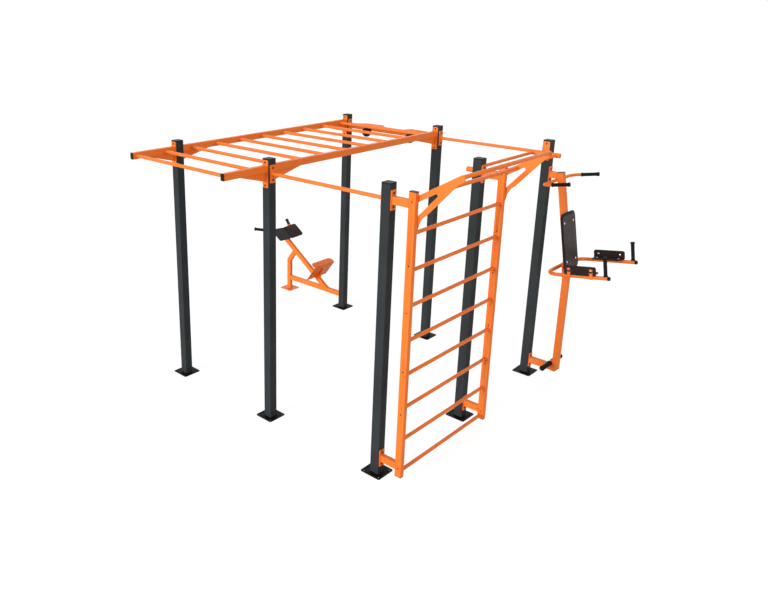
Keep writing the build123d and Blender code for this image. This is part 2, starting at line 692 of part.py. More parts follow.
def heel_plate():
    """The plate behind the bend that ties the mast to the arm tube."""
    tube_spot = ARMS.from_local_coords((-ARM_BACK, 0, 0))
    high = UPPER.from_local_coords((-SQUARE_SIDE / 2, 0, HEEL_ABOVE))
    bend_back = UPPER.from_local_coords((-SQUARE_SIDE / 2, 0, 0))
    nose = tube_spot.X + ARM_DIA / 2 - CUT_OVERRUN
    outline = Polyline((MAST_BACK, MAST_BEND - HEEL_BELOW), (nose, tube_spot.Z - GUSSET_NOSE),
                       (nose, tube_spot.Z + GUSSET_NOSE), (high.X, high.Z), (bend_back.X, bend_back.Z),
                       close=True)
    plane = Plane(origin=(0, MAST_Y, 0), x_dir=(1, 0, 0), z_dir=(0, -1, 0))
    tube = round_run((tube_spot.X, MAST_Y - TUBE_DEEP, tube_spot.Z),
                     (tube_spot.X, MAST_Y + TUBE_DEEP, tube_spot.Z), ARM_DIA)
    return extrude(plane * make_face(outline), GUSSET_THICK / 2, both=True) - tube


def tower_mast():
    return mast_tube() + (heel_plate() - mast_tube(hollow=False))


def tower_mount(seat, height):
    """A short square tube from the post's plate to the mast's back face."""
    back = Plane(origin=(MAST_BACK, MAST_Y, height), z_dir=(1, 0, 0))
    if height > MAST_BEND:
        back = Plane(origin=UPPER.from_local_coords((-SQUARE_SIDE / 2, 0, 0)), z_dir=UPPER.x_dir)
    tube = square_run((2 * PITCH + PLATE_FACE, MAST_Y, height), (MAST_X, MAST_Y, height), (0, 1, 0))
    return split(tube, bisect_by=back, keep=Keep.BOTTOM) + seat_plate(seat)


def tower_cap():
    top = Plane(origin=UPPER.from_local_coords((0, 0, MAST_UPPER - END_CAP_THICK)),
                x_dir=(0, 1, 0), z_dir=UPPER.z_dir)
    return box_cap(top, SQUARE_SIDE, SQUARE_SIDE)


def arm_caps():
    front = ARM_FRONT - PIPE_CAP_THICK
    return [
        ARMS * round_cap(Plane(origin=(front, side * ARM_HALF, 0), z_dir=(1, 0, 0)), ARM_DIA, ARM_WALL)
        for side in (-1, 1)
    ]


def arm_frame():
    """The arm tube with the two steel posts that carry the hand grips."""
    frame = arm_tube()
    for side in (-1, 1):
        core = ARMS * round_run((HAND_POST_AT, side * ARM_HALF, 0),
                                 (HAND_POST_AT, side * ARM_HALF, HAND_GRIP_TOP - GRIP_CROWN), HAND_POST_DIA)
        frame += core - arm_inside(side)
    return frame


def arm_inside(side):
    start = (HAND_POST_AT - ARM_DIA, side * ARM_HALF, 0)
    end = (HAND_POST_AT + ARM_DIA, side * ARM_HALF, 0)
    return ARMS * round_run(start, end, ARM_DIA - 2 * ARM_WALL)


def hand_grips():
    grips = []
    for side in (-1, 1):
        start = (HAND_POST_AT, side * ARM_HALF, ARM_DIA / 2 + GRIP_PLAY)
        end = (HAND_POST_AT, side * ARM_HALF, HAND_GRIP_TOP)
        grips.append(ARMS * grip_sleeve(start, end, HAND_GRIP_DIA, HAND_POST_DIA))
    return grips


def flat_box(low_corner, high_corner):
    size = [high - low for low, high in zip(low_corner, high_corner)]
    return Pos(*low_corner) * Box(*size, align=(Align.MIN, Align.MIN, Align.MIN))


def bevelled_board(plane, long, wide, thick, corner, bevel, depth):
    """A flat board on the plane, with rounded corners and a sloped border on top."""
    board = extrude(plane * RectangleRounded(long, wide, corner), thick - depth)
    inner = RectangleRounded(long - 2 * bevel, wide - 2 * bevel, max(corner - bevel, bevel))
    border = plane.offset(thick - depth) * RectangleRounded(long, wide, corner)
    top = loft([border, plane.offset(thick) * inner])
    return board + top


MAST_FRONT = SQUARE_SIDE / 2


def board_bore(plane):
    """The bore of one board bolt, through the board and what carries it."""
    depth = BOARD_THICK + STRAP_THICK + CUT_OVERRUN
    return extrude(plane.offset(CUT_OVERRUN) * Circle(BOARD_BOLT_DIA / 2 + GRIP_PLAY), -depth - CUT_OVERRUN)


def board_bolt(plane):
    """A low round head on the board with its shank going down."""
    head = extrude(plane * Circle(BOARD_BOLT_HEAD / 2), BOARD_BOLT_DOME, taper=BOARD_BOLT_TAPER)
    grip = BOARD_THICK + STRAP_THICK + BOARD_BOLT_TAIL
    return head + extrude(plane * Circle(BOARD_BOLT_DIA / 2), -grip)


def back_bolts():
    """The places of the back board's bolts, on its front face."""
    x = MAST_FRONT + STRAP_THICK + BOARD_THICK
    spots = [(x, y, z) for z in (BACK_BOLT_LOW, BACK_BOLT_HIGH) for y in (-BACK_BOLT_HALF, BACK_BOLT_HALF)]
    return [Plane(origin=spot, z_dir=(1, 0, 0)) for spot in spots]


def back_straps():
    straps = []
    for height in (BACK_BOLT_LOW, BACK_BOLT_HIGH):
        low_corner = (MAST_FRONT, -BACK_STRAP_HALF, height - STRAP_WIDE / 2)
        high_corner = (MAST_FRONT + STRAP_THICK, BACK_STRAP_HALF, height + STRAP_WIDE / 2)
        strap = flat_box(low_corner, high_corner)
        for plane in back_bolts():
            strap -= board_bore(plane)
        straps.append(UPPER * strap)
    return straps


def back_board():
    middle = (BACK_BOARD_LOW + BACK_BOARD_HIGH) / 2
    plane = Plane(origin=(MAST_FRONT + STRAP_THICK, 0, middle), x_dir=(0, 1, 0), z_dir=(1, 0, 0))
    long = BACK_BOARD_HIGH - BACK_BOARD_LOW
    board = bevelled_board(plane, BACK_BOARD_WIDE, long, BOARD_THICK, BACK_BOARD_RADIUS,
                           BOARD_BEVEL, BOARD_BEVEL_DEPTH)
    for spot in back_bolts():
        board -= board_bore(spot)
    return UPPER * board


TAB_FACE = ARM_HALF + ARM_DIA / 2       # outer side of the arm tube
STRAP_TOP = ARM_DIA / 2 + STRAP_THICK   # straps lie on the arm tube


def upright_bolts(side):
    """The places of an upright board's bolts, on its inner face."""
    y = side * (TAB_FACE - BOARD_THICK)
    return [Plane(origin=(at, y, ARM_BOLT_HEIGHT), z_dir=(0, -side, 0)) for at in ARM_STRAPS]


def rest_bolts(side):
    return [Plane(origin=(at, side * ARM_REST_BOLT, STRAP_TOP + BOARD_THICK)) for at in ARM_STRAPS]


def arm_tabs(side):
    """Flat tabs welded to the outer side of the arm tube; the upright board bolts to them."""
    low_y, high_y = sorted((side * TAB_FACE, side * (TAB_FACE + STRAP_THICK)))
    tabs = []
    for plane in upright_bolts(side):
        at = plane.origin.X
        tab = flat_box((at - ARM_TAB_WIDE / 2, low_y, -ARM_DIA / 2),
                       (at + ARM_TAB_WIDE / 2, high_y, ARM_TAB_HIGH))
        tabs.append(ARMS * (tab - board_bore(plane)))
    return tabs


def arm_straps(side):
    """Flat straps across the top of the arm tube; the rest board lies on them."""
    low_y, high_y = sorted((side * ARM_STRAP_INNER, side * TAB_FACE))
    straps = []
    for plane in rest_bolts(side):
        at = plane.origin.X
        strap = flat_box((at - ARM_TAB_WIDE / 2, low_y, ARM_DIA / 2),
                         (at + ARM_TAB_WIDE / 2, high_y, STRAP_TOP))
        straps.append(ARMS * (strap - board_bore(plane)))
    return straps


def upright_board(side):
    middle = ARM_BOARD_START + ARM_BOARD_LENGTH / 2
    height = ARM_BOARD_TOP - STRAP_TOP
    origin = (middle, side * TAB_FACE, STRAP_TOP + height / 2)
    plane = Plane(origin=origin, x_dir=(1, 0, 0), z_dir=(0, -side, 0))
    board = extrude(plane * RectangleRounded(ARM_BOARD_LENGTH, height, ARM_BOARD_RADIUS), BOARD_THICK)
    for spot in upright_bolts(side):
        board -= board_bore(spot)
    return ARMS * board


def rest_board(side):
    middle = ARM_BOARD_START + ARM_BOARD_LENGTH / 2
    wide = TAB_FACE - BOARD_THICK - ARM_REST_INNER
    plane = Plane(origin=(middle, side * (ARM_REST_INNER + wide / 2), STRAP_TOP))
    board = extrude(plane * RectangleRounded(ARM_BOARD_LENGTH, wide, ARM_BOARD_RADIUS), BOARD_THICK)
    for spot in rest_bolts(side):
        board -= board_bore(spot)
    return ARMS * board


def chin_handle():
    """The bent tube behind the mast's top, with a flat where it lies on the mast."""
    back = -(SQUARE_SIDE + CHIN_DIA) / 2 + CHIN_SINK
    points = [UPPER.from_local_coords(p) for p in (
        (CHIN_REACH - GRIP_CROWN, -CHIN_HALF, CHIN_AT), (back, -CHIN_HALF, CHIN_AT),
        (back, CHIN_HALF, CHIN_AT), (CHIN_REACH - GRIP_CROWN, CHIN_HALF, CHIN_AT))]
    return bent_pipe(points, CHIN_BEND, CHIN_DIA, CHIN_WALL) - mast_tube(hollow=False)


def chin_grips():
    grips = []
    for side in (-1, 1):
        start = (CHIN_GRIP_START, side * CHIN_HALF, CHIN_AT)
        end = (CHIN_REACH, side * CHIN_HALF, CHIN_AT)
        grips.append(UPPER * grip_sleeve(start, end, CHIN_GRIP_DIA, CHIN_DIA))
    return grips


PEG_X = MAST_BACK - PEG_BEHIND
PEG_Z = TOWER_LOW_HEIGHT + SQUARE_SIDE / 2 + PEG_CORE_DIA / 2


def foot_peg_bar():
    half = PEG_HALF - GRIP_CROWN
    return round_run((PEG_X, MAST_Y - half, PEG_Z), (PEG_X, MAST_Y + half, PEG_Z), PEG_CORE_DIA, ARM_WALL)


def foot_peg_sleeves():
    return [
        grip_sleeve((PEG_X, MAST_Y + side * PEG_GRIP_START, PEG_Z), (PEG_X, MAST_Y + side * PEG_HALF, PEG_Z),
                    PEG_DIA, PEG_CORE_DIA)
        for side in (-1, 1)
    ]


BENCH_Y = 2 * PITCH
BENCH_TURN = math.radians(BENCH_ANGLE)
# The bench line: x points up the beam, z square to the beam and up
INCLINE = Plane(
    origin=(-BENCH_HEEL, BENCH_Y, BENCH_TUBE_HEIGHT + SQUARE_SIDE / 2),
    x_dir=(-math.cos(BENCH_TURN), 0, math.sin(BENCH_TURN)),
    z_dir=(math.sin(BENCH_TURN), 0, math.cos(BENCH_TURN)),
)
BEAM_AXIS = BEAM_TOP - SQUARE_SIDE / 2


def bench_base_tube():
    seat = SEATS["bench"]
    z = BENCH_TUBE_HEIGHT
    ends = (-PLATE_FACE, BENCH_Y, z), (-BENCH_UPRIGHT + SQUARE_SIDE / 2, BENCH_Y, z)
    return square_run(*ends, (0, 1, 0)) + seat_plate(seat)


def bench_beam(hollow=True):
    """The slanted beam, cut level where it stands on the low tube."""
    start = INCLINE.from_local_coords((-SQUARE_SIDE, 0, BEAM_AXIS))
    end = INCLINE.from_local_coords((BEAM_END, 0, BEAM_AXIS))
    beam = square_run(tuple(start), tuple(end), (0, 1, 0), hollow)
    level = Plane(origin=INCLINE.origin)
    return split(beam, bisect_by=level, keep=Keep.TOP)


def bench_upright():
    """The bent upright on its foot plate; its upper leg stands square to the beam."""
    bend = (-BENCH_UPRIGHT, BENCH_Y, BENCH_BEND)
    along = INCLINE.to_local_coords(Vector(*bend)).X
    top = INCLINE.from_local_coords((along, 0, BEAM_TOP - SQUARE_SIDE))
    leg = mitred((-BENCH_UPRIGHT, BENCH_Y, BENCH_FOOT_THICK), bend, tuple(top))
    holes = [
        Pos(i * BENCH_FOOT_HOLE_PITCH / 2, j * BENCH_FOOT_HOLE_PITCH / 2) * Circle(BASE_HOLE_DIA / 2)
        for i in (-1, 1) for j in (-1, 1)
    ]
    sheet = RectangleRounded(BENCH_FOOT_SIDE, BENCH_FOOT_SIDE, BASE_CORNER_RADIUS) - holes
    foot = extrude(sheet, BENCH_FOOT_THICK)
    return leg + Pos(-BENCH_UPRIGHT, BENCH_Y, 0) * foot


def bench_footrest():
    """The bent sheet for the feet: an upright, a rolled-back flange and a rib below."""
    face = Plane(origin=(FOOTREST_AT, 0, 0), x_dir=(0, 1, 0), z_dir=(1, 0, 0))
    height = FOOTREST_HIGH - FOOTREST_LOW
    upright = extrude(face * Pos(0, FOOTREST_LOW + height / 2) * Rectangle(2 * FOOTREST_HALF, height),
                      FOOTREST_THICK)
    slope = math.atan2(FLANGE_DROP, FLANGE_LENGTH)
    flange_plane = Plane(origin=(FOOTREST_AT, 0, FOOTREST_HIGH),
                         x_dir=(math.cos(slope), 0, -math.sin(slope)),
                         z_dir=(-math.sin(slope), 0, -math.cos(slope)))
    sheet = Pos(FLANGE_LENGTH / 2, 0) * Rectangle(FLANGE_LENGTH, 2 * FOOTREST_HALF)
    sheet = fillet(sheet.vertices().sort_by(Axis.X)[-2:], FLANGE_RADIUS)
    flange = extrude(flange_plane * sheet, FOOTREST_THICK)
    rib_line = Polyline((FOOTREST_AT, RIB_HIGH), (FOOTREST_AT, BEAM_TOP),
                        (FOOTREST_AT - RIB_LENGTH, BEAM_TOP), close=True)
    rib_plane = Plane(origin=(0, 0, 0), x_dir=(1, 0, 0), z_dir=(0, -1, 0))
    rib = extrude(rib_plane * make_face(rib_line), GUSSET_THICK / 2, both=True)
    return INCLINE * (upright + flange + rib) - bench_beam(hollow=False)


BOARD_UNDER = BENCH_BOARD_LEVEL - BOARD_THICK
CROSS_AT = BOARD_AT + BENCH_BOARD_LENGTH / 2


def bench_board_support():
    """A block on the beam with a bent flat across it that carries both boards."""
    block = flat_box((CROSS_AT - CROSS_WIDE / 2, -SQUARE_SIDE / 2, BEAM_TOP),
                     (CROSS_AT + CROSS_WIDE / 2, SQUARE_SIDE / 2, BOARD_UNDER - CROSS_THICK / 2))
    support = block
    for side in (-1, 1):
        plane = board_plane(side).offset(-CROSS_THICK)
        half = CROSS_HALF - BENCH_BOARD_GAP / 2
        flat = Pos(0, side * (CROSS_HALF + BENCH_BOARD_GAP / 2) / 2) * Rectangle(CROSS_WIDE, half)
        support += extrude(plane * flat, CROSS_THICK)
    return INCLINE * support


def board_plane(side):
    """The underside of one board: the pair is tilted to a shallow V."""
    tilt = side * math.radians(BENCH_BOARD_TILT)
    return Plane(origin=(CROSS_AT, 0, BOARD_UNDER), x_dir=(1, 0, 0),
                 z_dir=(0, -math.sin(tilt), math.cos(tilt)))


def bench_board(side):
    sheet = RectangleRounded(BENCH_BOARD_LENGTH, BENCH_BOARD_WIDE, BENCH_BOARD_RADIUS)
    offset = side * (BENCH_BOARD_GAP + BENCH_BOARD_WIDE) / 2
    return INCLINE * extrude(board_plane(side) * Pos(0, offset) * sheet, BOARD_THICK)


def horn_points():
    root = INCLINE.from_local_coords((HORN_ROOT, 0, BEAM_TOP + HORN_DIA / 2))
    tip = Vector(-HORN_TIP_BACK, HORN_TIP_HALF, HORN_TIP_HEIGHT)
    shoulder = Vector(root.X, HORN_SHOULDER, root.Z)
    return shoulder, tip


def on_side(point, side):
    return (point.X, BENCH_Y + side * point.Y, point.Z)


def bench_handles():
    shoulder, tip = horn_points()
    end = tip + (shoulder - tip).normalized() * GRIP_CROWN
    points = [on_side(end, -1), on_side(shoulder, -1), on_side(shoulder, 1), on_side(end, 1)]
    return bent_pipe(points, HORN_BEND, HORN_DIA, HORN_WALL)


def bench_grips():
    shoulder, tip = horn_points()
    start = tip + (shoulder - tip).normalized() * HORN_GRIP_LENGTH
    ends = [(on_side(start, side), on_side(tip, side)) for side in (-1, 1)]
    return [grip_sleeve(*pair, HORN_GRIP_DIA, HORN_DIA) for pair in ends]


def bench_cap():
    end = INCLINE.from_local_coords((BEAM_END, 0, BEAM_AXIS))
    return box_cap(Plane(origin=end, x_dir=(0, 1, 0), z_dir=INCLINE.x_dir), SQUARE_SIDE, SQUARE_SIDE)


def board_bolts():
    bolts = [UPPER * board_bolt(plane) for plane in back_bolts()]
    for side in (-1, 1):
        bolts += [ARMS * board_bolt(plane) for plane in upright_bolts(side) + rest_bolts(side)]
    return bolts


def write(name, *pieces):
    solids = [solid for piece in pieces for solid in Part(piece.wrapped).solids()]
    export_step(Compound(children=solids), os.path.join("parts", name + ".step"))


def main():
    os.makedirs("parts", exist_ok=True)
    for name in POSTS:
        write(name, make_post(name))
    write("post_caps", *[make_post_cap(name) for name in POSTS])
    write("ladder_stub_left", ladder_stub(0, SEATS["stub_left"]))
    write("ladder_stub_right", ladder_stub(PITCH, SEATS["stub_right"]))
    write("ladder_rail_left", ladder_rail(0, SEATS["rail_left_front"], SEATS["rail_left_back"]))
    write("ladder_rail_right", ladder_rail(PITCH, SEATS["rail_right_front"], SEATS["rail_right_back"]))
    write("ladder_rungs", *ladder_rungs())
    write("high_bar_front", high_bar(SEATS["bar_front_left"], SEATS["bar_front_right"]))
    write("high_bar_back", high_bar(SEATS["bar_back_left"], SEATS["bar_back_right"]))
    write("back_beam", back_beam(SEATS["beam_left"], SEATS["beam_right"]))
    write("ball_grips", *ball_grips(SEATS["beam_left"], SEATS["beam_right"]))
    write("back_handles", *back_handles(SEATS["beam_left"], SEATS["beam_right"]))
    write("stile_front", stile(STILE_ROWS[0]))
    write("stile_back", stile(STILE_ROWS[1]))
    write("wall_bar_rungs", *wall_bar_rungs())
    for row, place in (("front", "wall_front"), ("back", "wall_back")):
        top, bottom = SEATS[place + "_top"], SEATS[place + "_low"]
        write("wall_bar_mounts_" + row, wall_bar_mount(top, PLATE_HEIGHT),
              wall_bar_mount(bottom, LOW_PLATE_HEIGHT))
    write("overhang_bracket_front", overhang_bracket(STILE_ROWS[0] + TUBE_WIDE / 2))
    write("overhang_bracket_back", overhang_bracket(STILE_ROWS[1] + TUBE_WIDE / 2))
    write("overhang_bar_inner", overhang_bar(INNER_BAR_X, INNER_BAR_Z))
    write("overhang_bar_outer", overhang_bar(OUTER_BAR_X, OUTER_BAR_Z))
    write("dip_pipe_front", dip_pipe(SEATS["dip_front"]))
    write("dip_pipe_back", dip_pipe(SEATS["dip_back"]))
    write("dip_bar_left", dip_bar(-1))
    write("dip_bar_right", dip_bar(1))
    write("tower_mast", tower_mast())
    write("tower_mount_upper", tower_mount(SEATS["tower_top"], TOWER_PLATE_HEIGHT))
    write("tower_mount_lower", tower_mount(SEATS["tower_low"], TOWER_LOW_HEIGHT))
    write("tower_arm_frame", arm_frame())
    write("tube_end_caps", *ladder_caps(), *stile_caps(), tower_cap(), bench_cap())
    write("pipe_end_caps", *arm_caps())
    write("tower_arm_tabs", *arm_tabs(-1), *arm_tabs(1))
    write("tower_arm_straps", *arm_straps(-1), *arm_straps(1))
    write("tower_back_straps", *back_straps())
    write("tower_back_board", back_board())
    write("tower_upright_boards", upright_board(-1), upright_board(1))
    write("tower_rest_boards", rest_board(-1), rest_board(1))
    write("tower_hand_grips", *hand_grips())
    write("chin_handle", chin_handle())
    write("chin_grips", *chin_grips())
    write("foot_peg_bar", foot_peg_bar())
    write("foot_peg_sleeves", *foot_peg_sleeves())
    write("bench_base_tube", bench_base_tube())
    write("bench_upright", bench_upright())
    write("bench_beam", bench_beam())
    write("bench_footrest", bench_footrest())
    write("bench_board_support", bench_board_support())
    write("bench_boards", bench_board(-1), bench_board(1))
    write("bench_handles", bench_handles())
    write("bench_grips", *bench_grips())
    write("frame_bolts", *[bolt for seat in SEATS.values() for bolt in seat_bolts(seat)])
    write("stile_bolts", *stile_bolts())
    write("board_bolts", *board_bolts())


main()
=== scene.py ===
# %% [markdown]
# # An outdoor workout complex, dressed for a product picture
# The frame of the complex comes from the CAD model, already in its real size and place.
# This lesson adds what steelwork has on top of its shape: paint with a fine skin, weld
# beads, rubber and plastic, then a camera and light like those of a catalogue picture.

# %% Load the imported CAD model
import math

import bmesh
import bpy
import numpy
from mathutils import Matrix, Vector


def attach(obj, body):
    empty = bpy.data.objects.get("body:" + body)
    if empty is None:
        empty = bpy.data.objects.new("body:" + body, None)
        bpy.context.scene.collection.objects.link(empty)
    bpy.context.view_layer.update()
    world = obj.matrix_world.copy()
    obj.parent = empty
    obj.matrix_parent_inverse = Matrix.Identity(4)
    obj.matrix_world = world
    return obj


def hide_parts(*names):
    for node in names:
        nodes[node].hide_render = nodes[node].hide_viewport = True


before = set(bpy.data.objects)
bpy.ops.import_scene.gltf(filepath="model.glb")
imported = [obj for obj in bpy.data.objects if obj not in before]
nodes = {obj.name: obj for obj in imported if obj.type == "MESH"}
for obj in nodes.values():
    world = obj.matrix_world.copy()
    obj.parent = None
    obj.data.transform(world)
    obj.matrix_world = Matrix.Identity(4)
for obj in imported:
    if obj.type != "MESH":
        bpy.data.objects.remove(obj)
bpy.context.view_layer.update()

# %% [markdown]
# ## Camera
# The picture was taken from the front right and from higher than the posts. A camera
# can be turned by hand until edges meet, or worked out from the vanishing points of the
# three sets of parallel tubes. The second way gave these numbers, because all edges then
# meet at once. The picture's off-centre crop is a lens shift, so nothing in it is bent.

# %% Camera at the picture's point of view
PICTURE_WIDE, PICTURE_HIGH = 768, 593
FOCAL_PIXELS = 751.63
OPTICAL_CENTRE = (283.506, 242.617)
SENSOR_WIDE = 36.0
CAMERA_PLACE = Vector((6.1064, -4.6245, 3.9077))
CAMERA_TURN, CAMERA_DIP = math.radians(44.77), math.radians(17.563)
FARTHEST_SEEN = 200

lens = bpy.data.cameras.new("catalogue_camera")
lens.sensor_width = SENSOR_WIDE
lens.lens = FOCAL_PIXELS * SENSOR_WIDE / PICTURE_WIDE
lens.shift_x = (PICTURE_WIDE / 2 - OPTICAL_CENTRE[0]) / PICTURE_WIDE
lens.shift_y = -(PICTURE_HIGH / 2 - OPTICAL_CENTRE[1]) / PICTURE_WIDE
lens.clip_end = FARTHEST_SEEN
camera = bpy.data.objects.new("catalogue_camera", lens)
look = Vector((
    -math.sin(CAMERA_TURN) * math.cos(CAMERA_DIP),
    math.cos(CAMERA_TURN) * math.cos(CAMERA_DIP),
    -math.sin(CAMERA_DIP),
))
camera.location = CAMERA_PLACE
camera.rotation_mode = "QUATERNION"
camera.rotation_quaternion = look.to_track_quat("-Z", "Y")
bpy.context.scene.collection.objects.link(camera)
bpy.context.scene.camera = camera
bpy.context.scene.view_settings.view_transform = "Standard"
print("lens:", round(lens.lens, 2), "mm, shift:", round(lens.shift_x, 4), round(lens.shift_y, 4))

# %% [markdown]
# ## Helpers for finishes
# A finish is a small network of shader nodes. Every coat here drifts between two close
# tones and two degrees of gloss, so that network is written once, and each finish below
# only names its own choices. The noise reads the object's own coordinates: a cloud has
# the same size in metres on every piece and keeps its place from every side.

# %% Soft noise and what it drives
CLOUD_LOW, CLOUD_HIGH = 0.3, 0.7


def add_node(tree, kind, **settings):
    """Adds a node and sets its sockets, or else its properties, by their names."""
    node = tree.nodes.new(kind)
    for name, value in settings.items():
        if name in node.inputs:
            node.inputs[name].default_value = value
        else:
            setattr(node, name, value)
    return node


def cloudy(tree, scale, detail=3.0):
    """Soft noise from the object's own coordinates, as a value round one half."""
    noise = add_node(tree, "ShaderNodeTexNoise", Scale=scale, Detail=detail)
    tree.links.new(add_node(tree, "ShaderNodeTexCoord").outputs["Object"], noise.inputs["Vector"])
    return noise.outputs["Fac"]


def spread(tree, value, low, high):
    """Maps the middle of a noise onto the range from low to high."""
    ends = {"From Min": CLOUD_LOW, "From Max": CLOUD_HIGH, "To Min": low, "To Max": high}
    ranged = add_node(tree, "ShaderNodeMapRange", **ends)
    tree.links.new(value, ranged.inputs["Value"])
    return ranged.outputs["Result"]


def two_tones(tree, value, first, second):
    """Goes from the first colour to the second as the value goes from 0 to 1."""
    mix = add_node(tree, "ShaderNodeMix", data_type="RGBA", A=(*first, 1), B=(*second, 1))
    tree.links.new(value, mix.inputs["Factor"])
    return mix.outputs["Result"]


# %% A coat and its skin
def coated(name, deep, light, clouds, rough, rough_clouds=None, shine=0.5, detail=3.0):
    """A finish in two close tones; rough is a pair to drift between, or one even value."""
    finish = bpy.data.materials.new(name)
    finish.use_nodes = True
    tree = finish.node_tree
    shader = tree.nodes["Principled BSDF"]
    tone = two_tones(tree, spread(tree, cloudy(tree, clouds, detail), 0, 1), deep, light)
    tree.links.new(tone, shader.inputs["Base Color"])
    if rough_clouds:
        tree.links.new(spread(tree, cloudy(tree, rough_clouds), *rough), shader.inputs["Roughness"])
    else:
        shader.inputs["Roughness"].default_value = rough
    shader.inputs["Specular IOR Level"].default_value = shine
    print("finish:", name, "between", deep, "and", light)
    return finish


def skin(finish, scale, high, strength=0.3):
    """A fine raised grain, such as the skin of sprayed paint."""
    tree = finish.node_tree
    bump = add_node(tree, "ShaderNodeBump", Strength=strength, Distance=high)
    tree.links.new(cloudy(tree, scale, detail=2.0), bump.inputs["Height"])
    tree.links.new(bump.outputs["Normal"], tree.nodes["Principled BSDF"].inputs["Normal"])


# %% [markdown]
# ## Orange powder coat
# Powder coat is plastic dust that is baked onto steel. It is slightly wavy, like the
# skin of an orange, and a big frame is never quite one tone: film thickness and dust
# shift it a little. A flat colour looks like a toy, so two close oranges drift into
# each other, and a fine bump breaks the reflection.

# %% Orange powder coat
ORANGE_DEEP, ORANGE_BRIGHT = (0.88, 0.178, 0.015), (0.95, 0.21, 0.024)
COAT_GRAIN = {"scale": 420.0, "high": 0.0006}

orange_coat = coated(
    "orange_coat", ORANGE_DEEP, ORANGE_BRIGHT, clouds=2.2, rough=(0.4, 0.55), rough_clouds=26.0, shine=0.25
)
skin(orange_coat, **COAT_GRAIN)

# %% [markdown]
# ## Graphite powder coat
# The posts are a dark blue-grey, and their base plates are nearly black. Both are one
# steel piece. Splitting the mesh would give each its own coat, but a CAD node keeps its
# mesh, so the shader changes colour by the height above ground.

# %% Graphite powder coat with black base plates
GRAPHITE_DEEP, GRAPHITE_LIGHT = (0.028, 0.032, 0.034), (0.036, 0.041, 0.0435)
BASE_BLACK = (0.006, 0.006, 0.007)
BASE_TOP = 0.0081

graphite_coat = coated(
    "graphite_coat", GRAPHITE_DEEP, GRAPHITE_LIGHT, clouds=3.0, rough=(0.42, 0.6), rough_clouds=30.0, shine=0.06
)
skin(graphite_coat, **COAT_GRAIN)

tree = graphite_coat.node_tree
place = add_node(tree, "ShaderNodeSeparateXYZ")
tree.links.new(add_node(tree, "ShaderNodeTexCoord").outputs["Object"], place.inputs["Vector"])
above_base = add_node(tree, "ShaderNodeMath", operation="GREATER_THAN")
above_base.inputs[1].default_value = BASE_TOP
tree.links.new(place.outputs["Z"], above_base.inputs[0])
painted = add_node(tree, "ShaderNodeMix", data_type="RGBA", A=(*BASE_BLACK, 1))
post_colour = tree.nodes["Principled BSDF"].inputs["Base Color"]
tree.links.new(above_base.outputs["Value"], painted.inputs["Factor"])
tree.links.new(post_colour.links[0].from_socket, painted.inputs["B"])
tree.links.new(painted.outputs["Result"], post_colour)
print("base plates are black up to", BASE_TOP)

# %% [markdown]
# ## Black plastic and rubber
# The plugs in the tubes are moulded plastic with a satin skin, and the grips are rubber,
# a little duller and coarser. A bump could draw the grips' ribs as well, but they are
# deep enough to show at the outline. So they come later as geometry, and the bump here
# is only the skin between them.

# %% Plastic of the plugs and rubber of the grips
black_plastic = coated(
    "black_plastic", (0.003, 0.003, 0.0035), (0.006, 0.006, 0.0065), clouds=60.0,
    rough=(0.45, 0.6), rough_clouds=90.0, shine=0.14,
)
skin(black_plastic, scale=700.0, high=0.0004)
black_rubber = coated(
    "black_rubber", (0.003, 0.0032, 0.0036), (0.006, 0.0065, 0.007), clouds=40.0, rough=0.7, shine=0.14
)
skin(black_rubber, scale=260.0, high=0.0012, strength=0.5)

# %% [markdown]
# ## Brown boards
# The boards are dark brown plastic sheet with a faint pressed grain. The small boards and
# the bench's boards get a darker copy of the back board's brown, painted shade for the
# shadow they stand in, and the back board's rim is almost black. One helper with three
# sets of tones keeps the grain the same on all of them.

# %% Three tones of board
def pressed_board(name, deep, light, shine):
    finish = coated(
        name, deep, light, clouds=12.0, detail=5.0, rough=(0.4, 0.58), rough_clouds=45.0, shine=shine
    )
    skin(finish, scale=180.0, high=0.001)
    return finish


brown_board = pressed_board("brown_board", (0.023, 0.0102, 0.009), (0.038, 0.0178, 0.0165), 0.22)
# Painted shade: the arms' boards and the bench's boards get a darker copy of the panel's brown, for the shadow they
# stand in.
shaded_board = pressed_board("shaded_board", (0.014, 0.0058, 0.0055), (0.023, 0.0098, 0.0095), 0.16)
board_rim = pressed_board("board_rim", (0.006, 0.0035, 0.0035), (0.01, 0.006, 0.006), 0.1)

# %% [markdown]
# ## Steel of the bolts
# The bolts are bare steel: dark and dull on the frame, bright on the boards. Metal has
# no colour under its shine, so the tone is the tint of what it reflects, and fine
# clouds in tone and roughness stand for handling and weather.

# %% Dark and bright steel
def bare_steel(name, dull, bright, rough):
    finish = coated(name, dull, bright, clouds=150.0, rough=rough, rough_clouds=220.0)
    finish.node_tree.nodes["Principled BSDF"].inputs["Metallic"].default_value = 1
    return finish


dark_steel = bare_steel("dark_steel", (0.05, 0.04, 0.035), (0.1, 0.085, 0.075), (0.4, 0.6))
bright_steel = bare_steel("bright_steel", (0.5, 0.5, 0.49), (0.72, 0.72, 0.7), (0.28, 0.42))

# %% [markdown]
# ## Give every CAD node its finish
# A node keeps its own mesh. Real steel has no knife edge: paint and rolling round every
# edge, and that round is what catches the light. A bevel modifier adds it without
# touching the mesh, after a weld modifier has joined the split edges of the import.

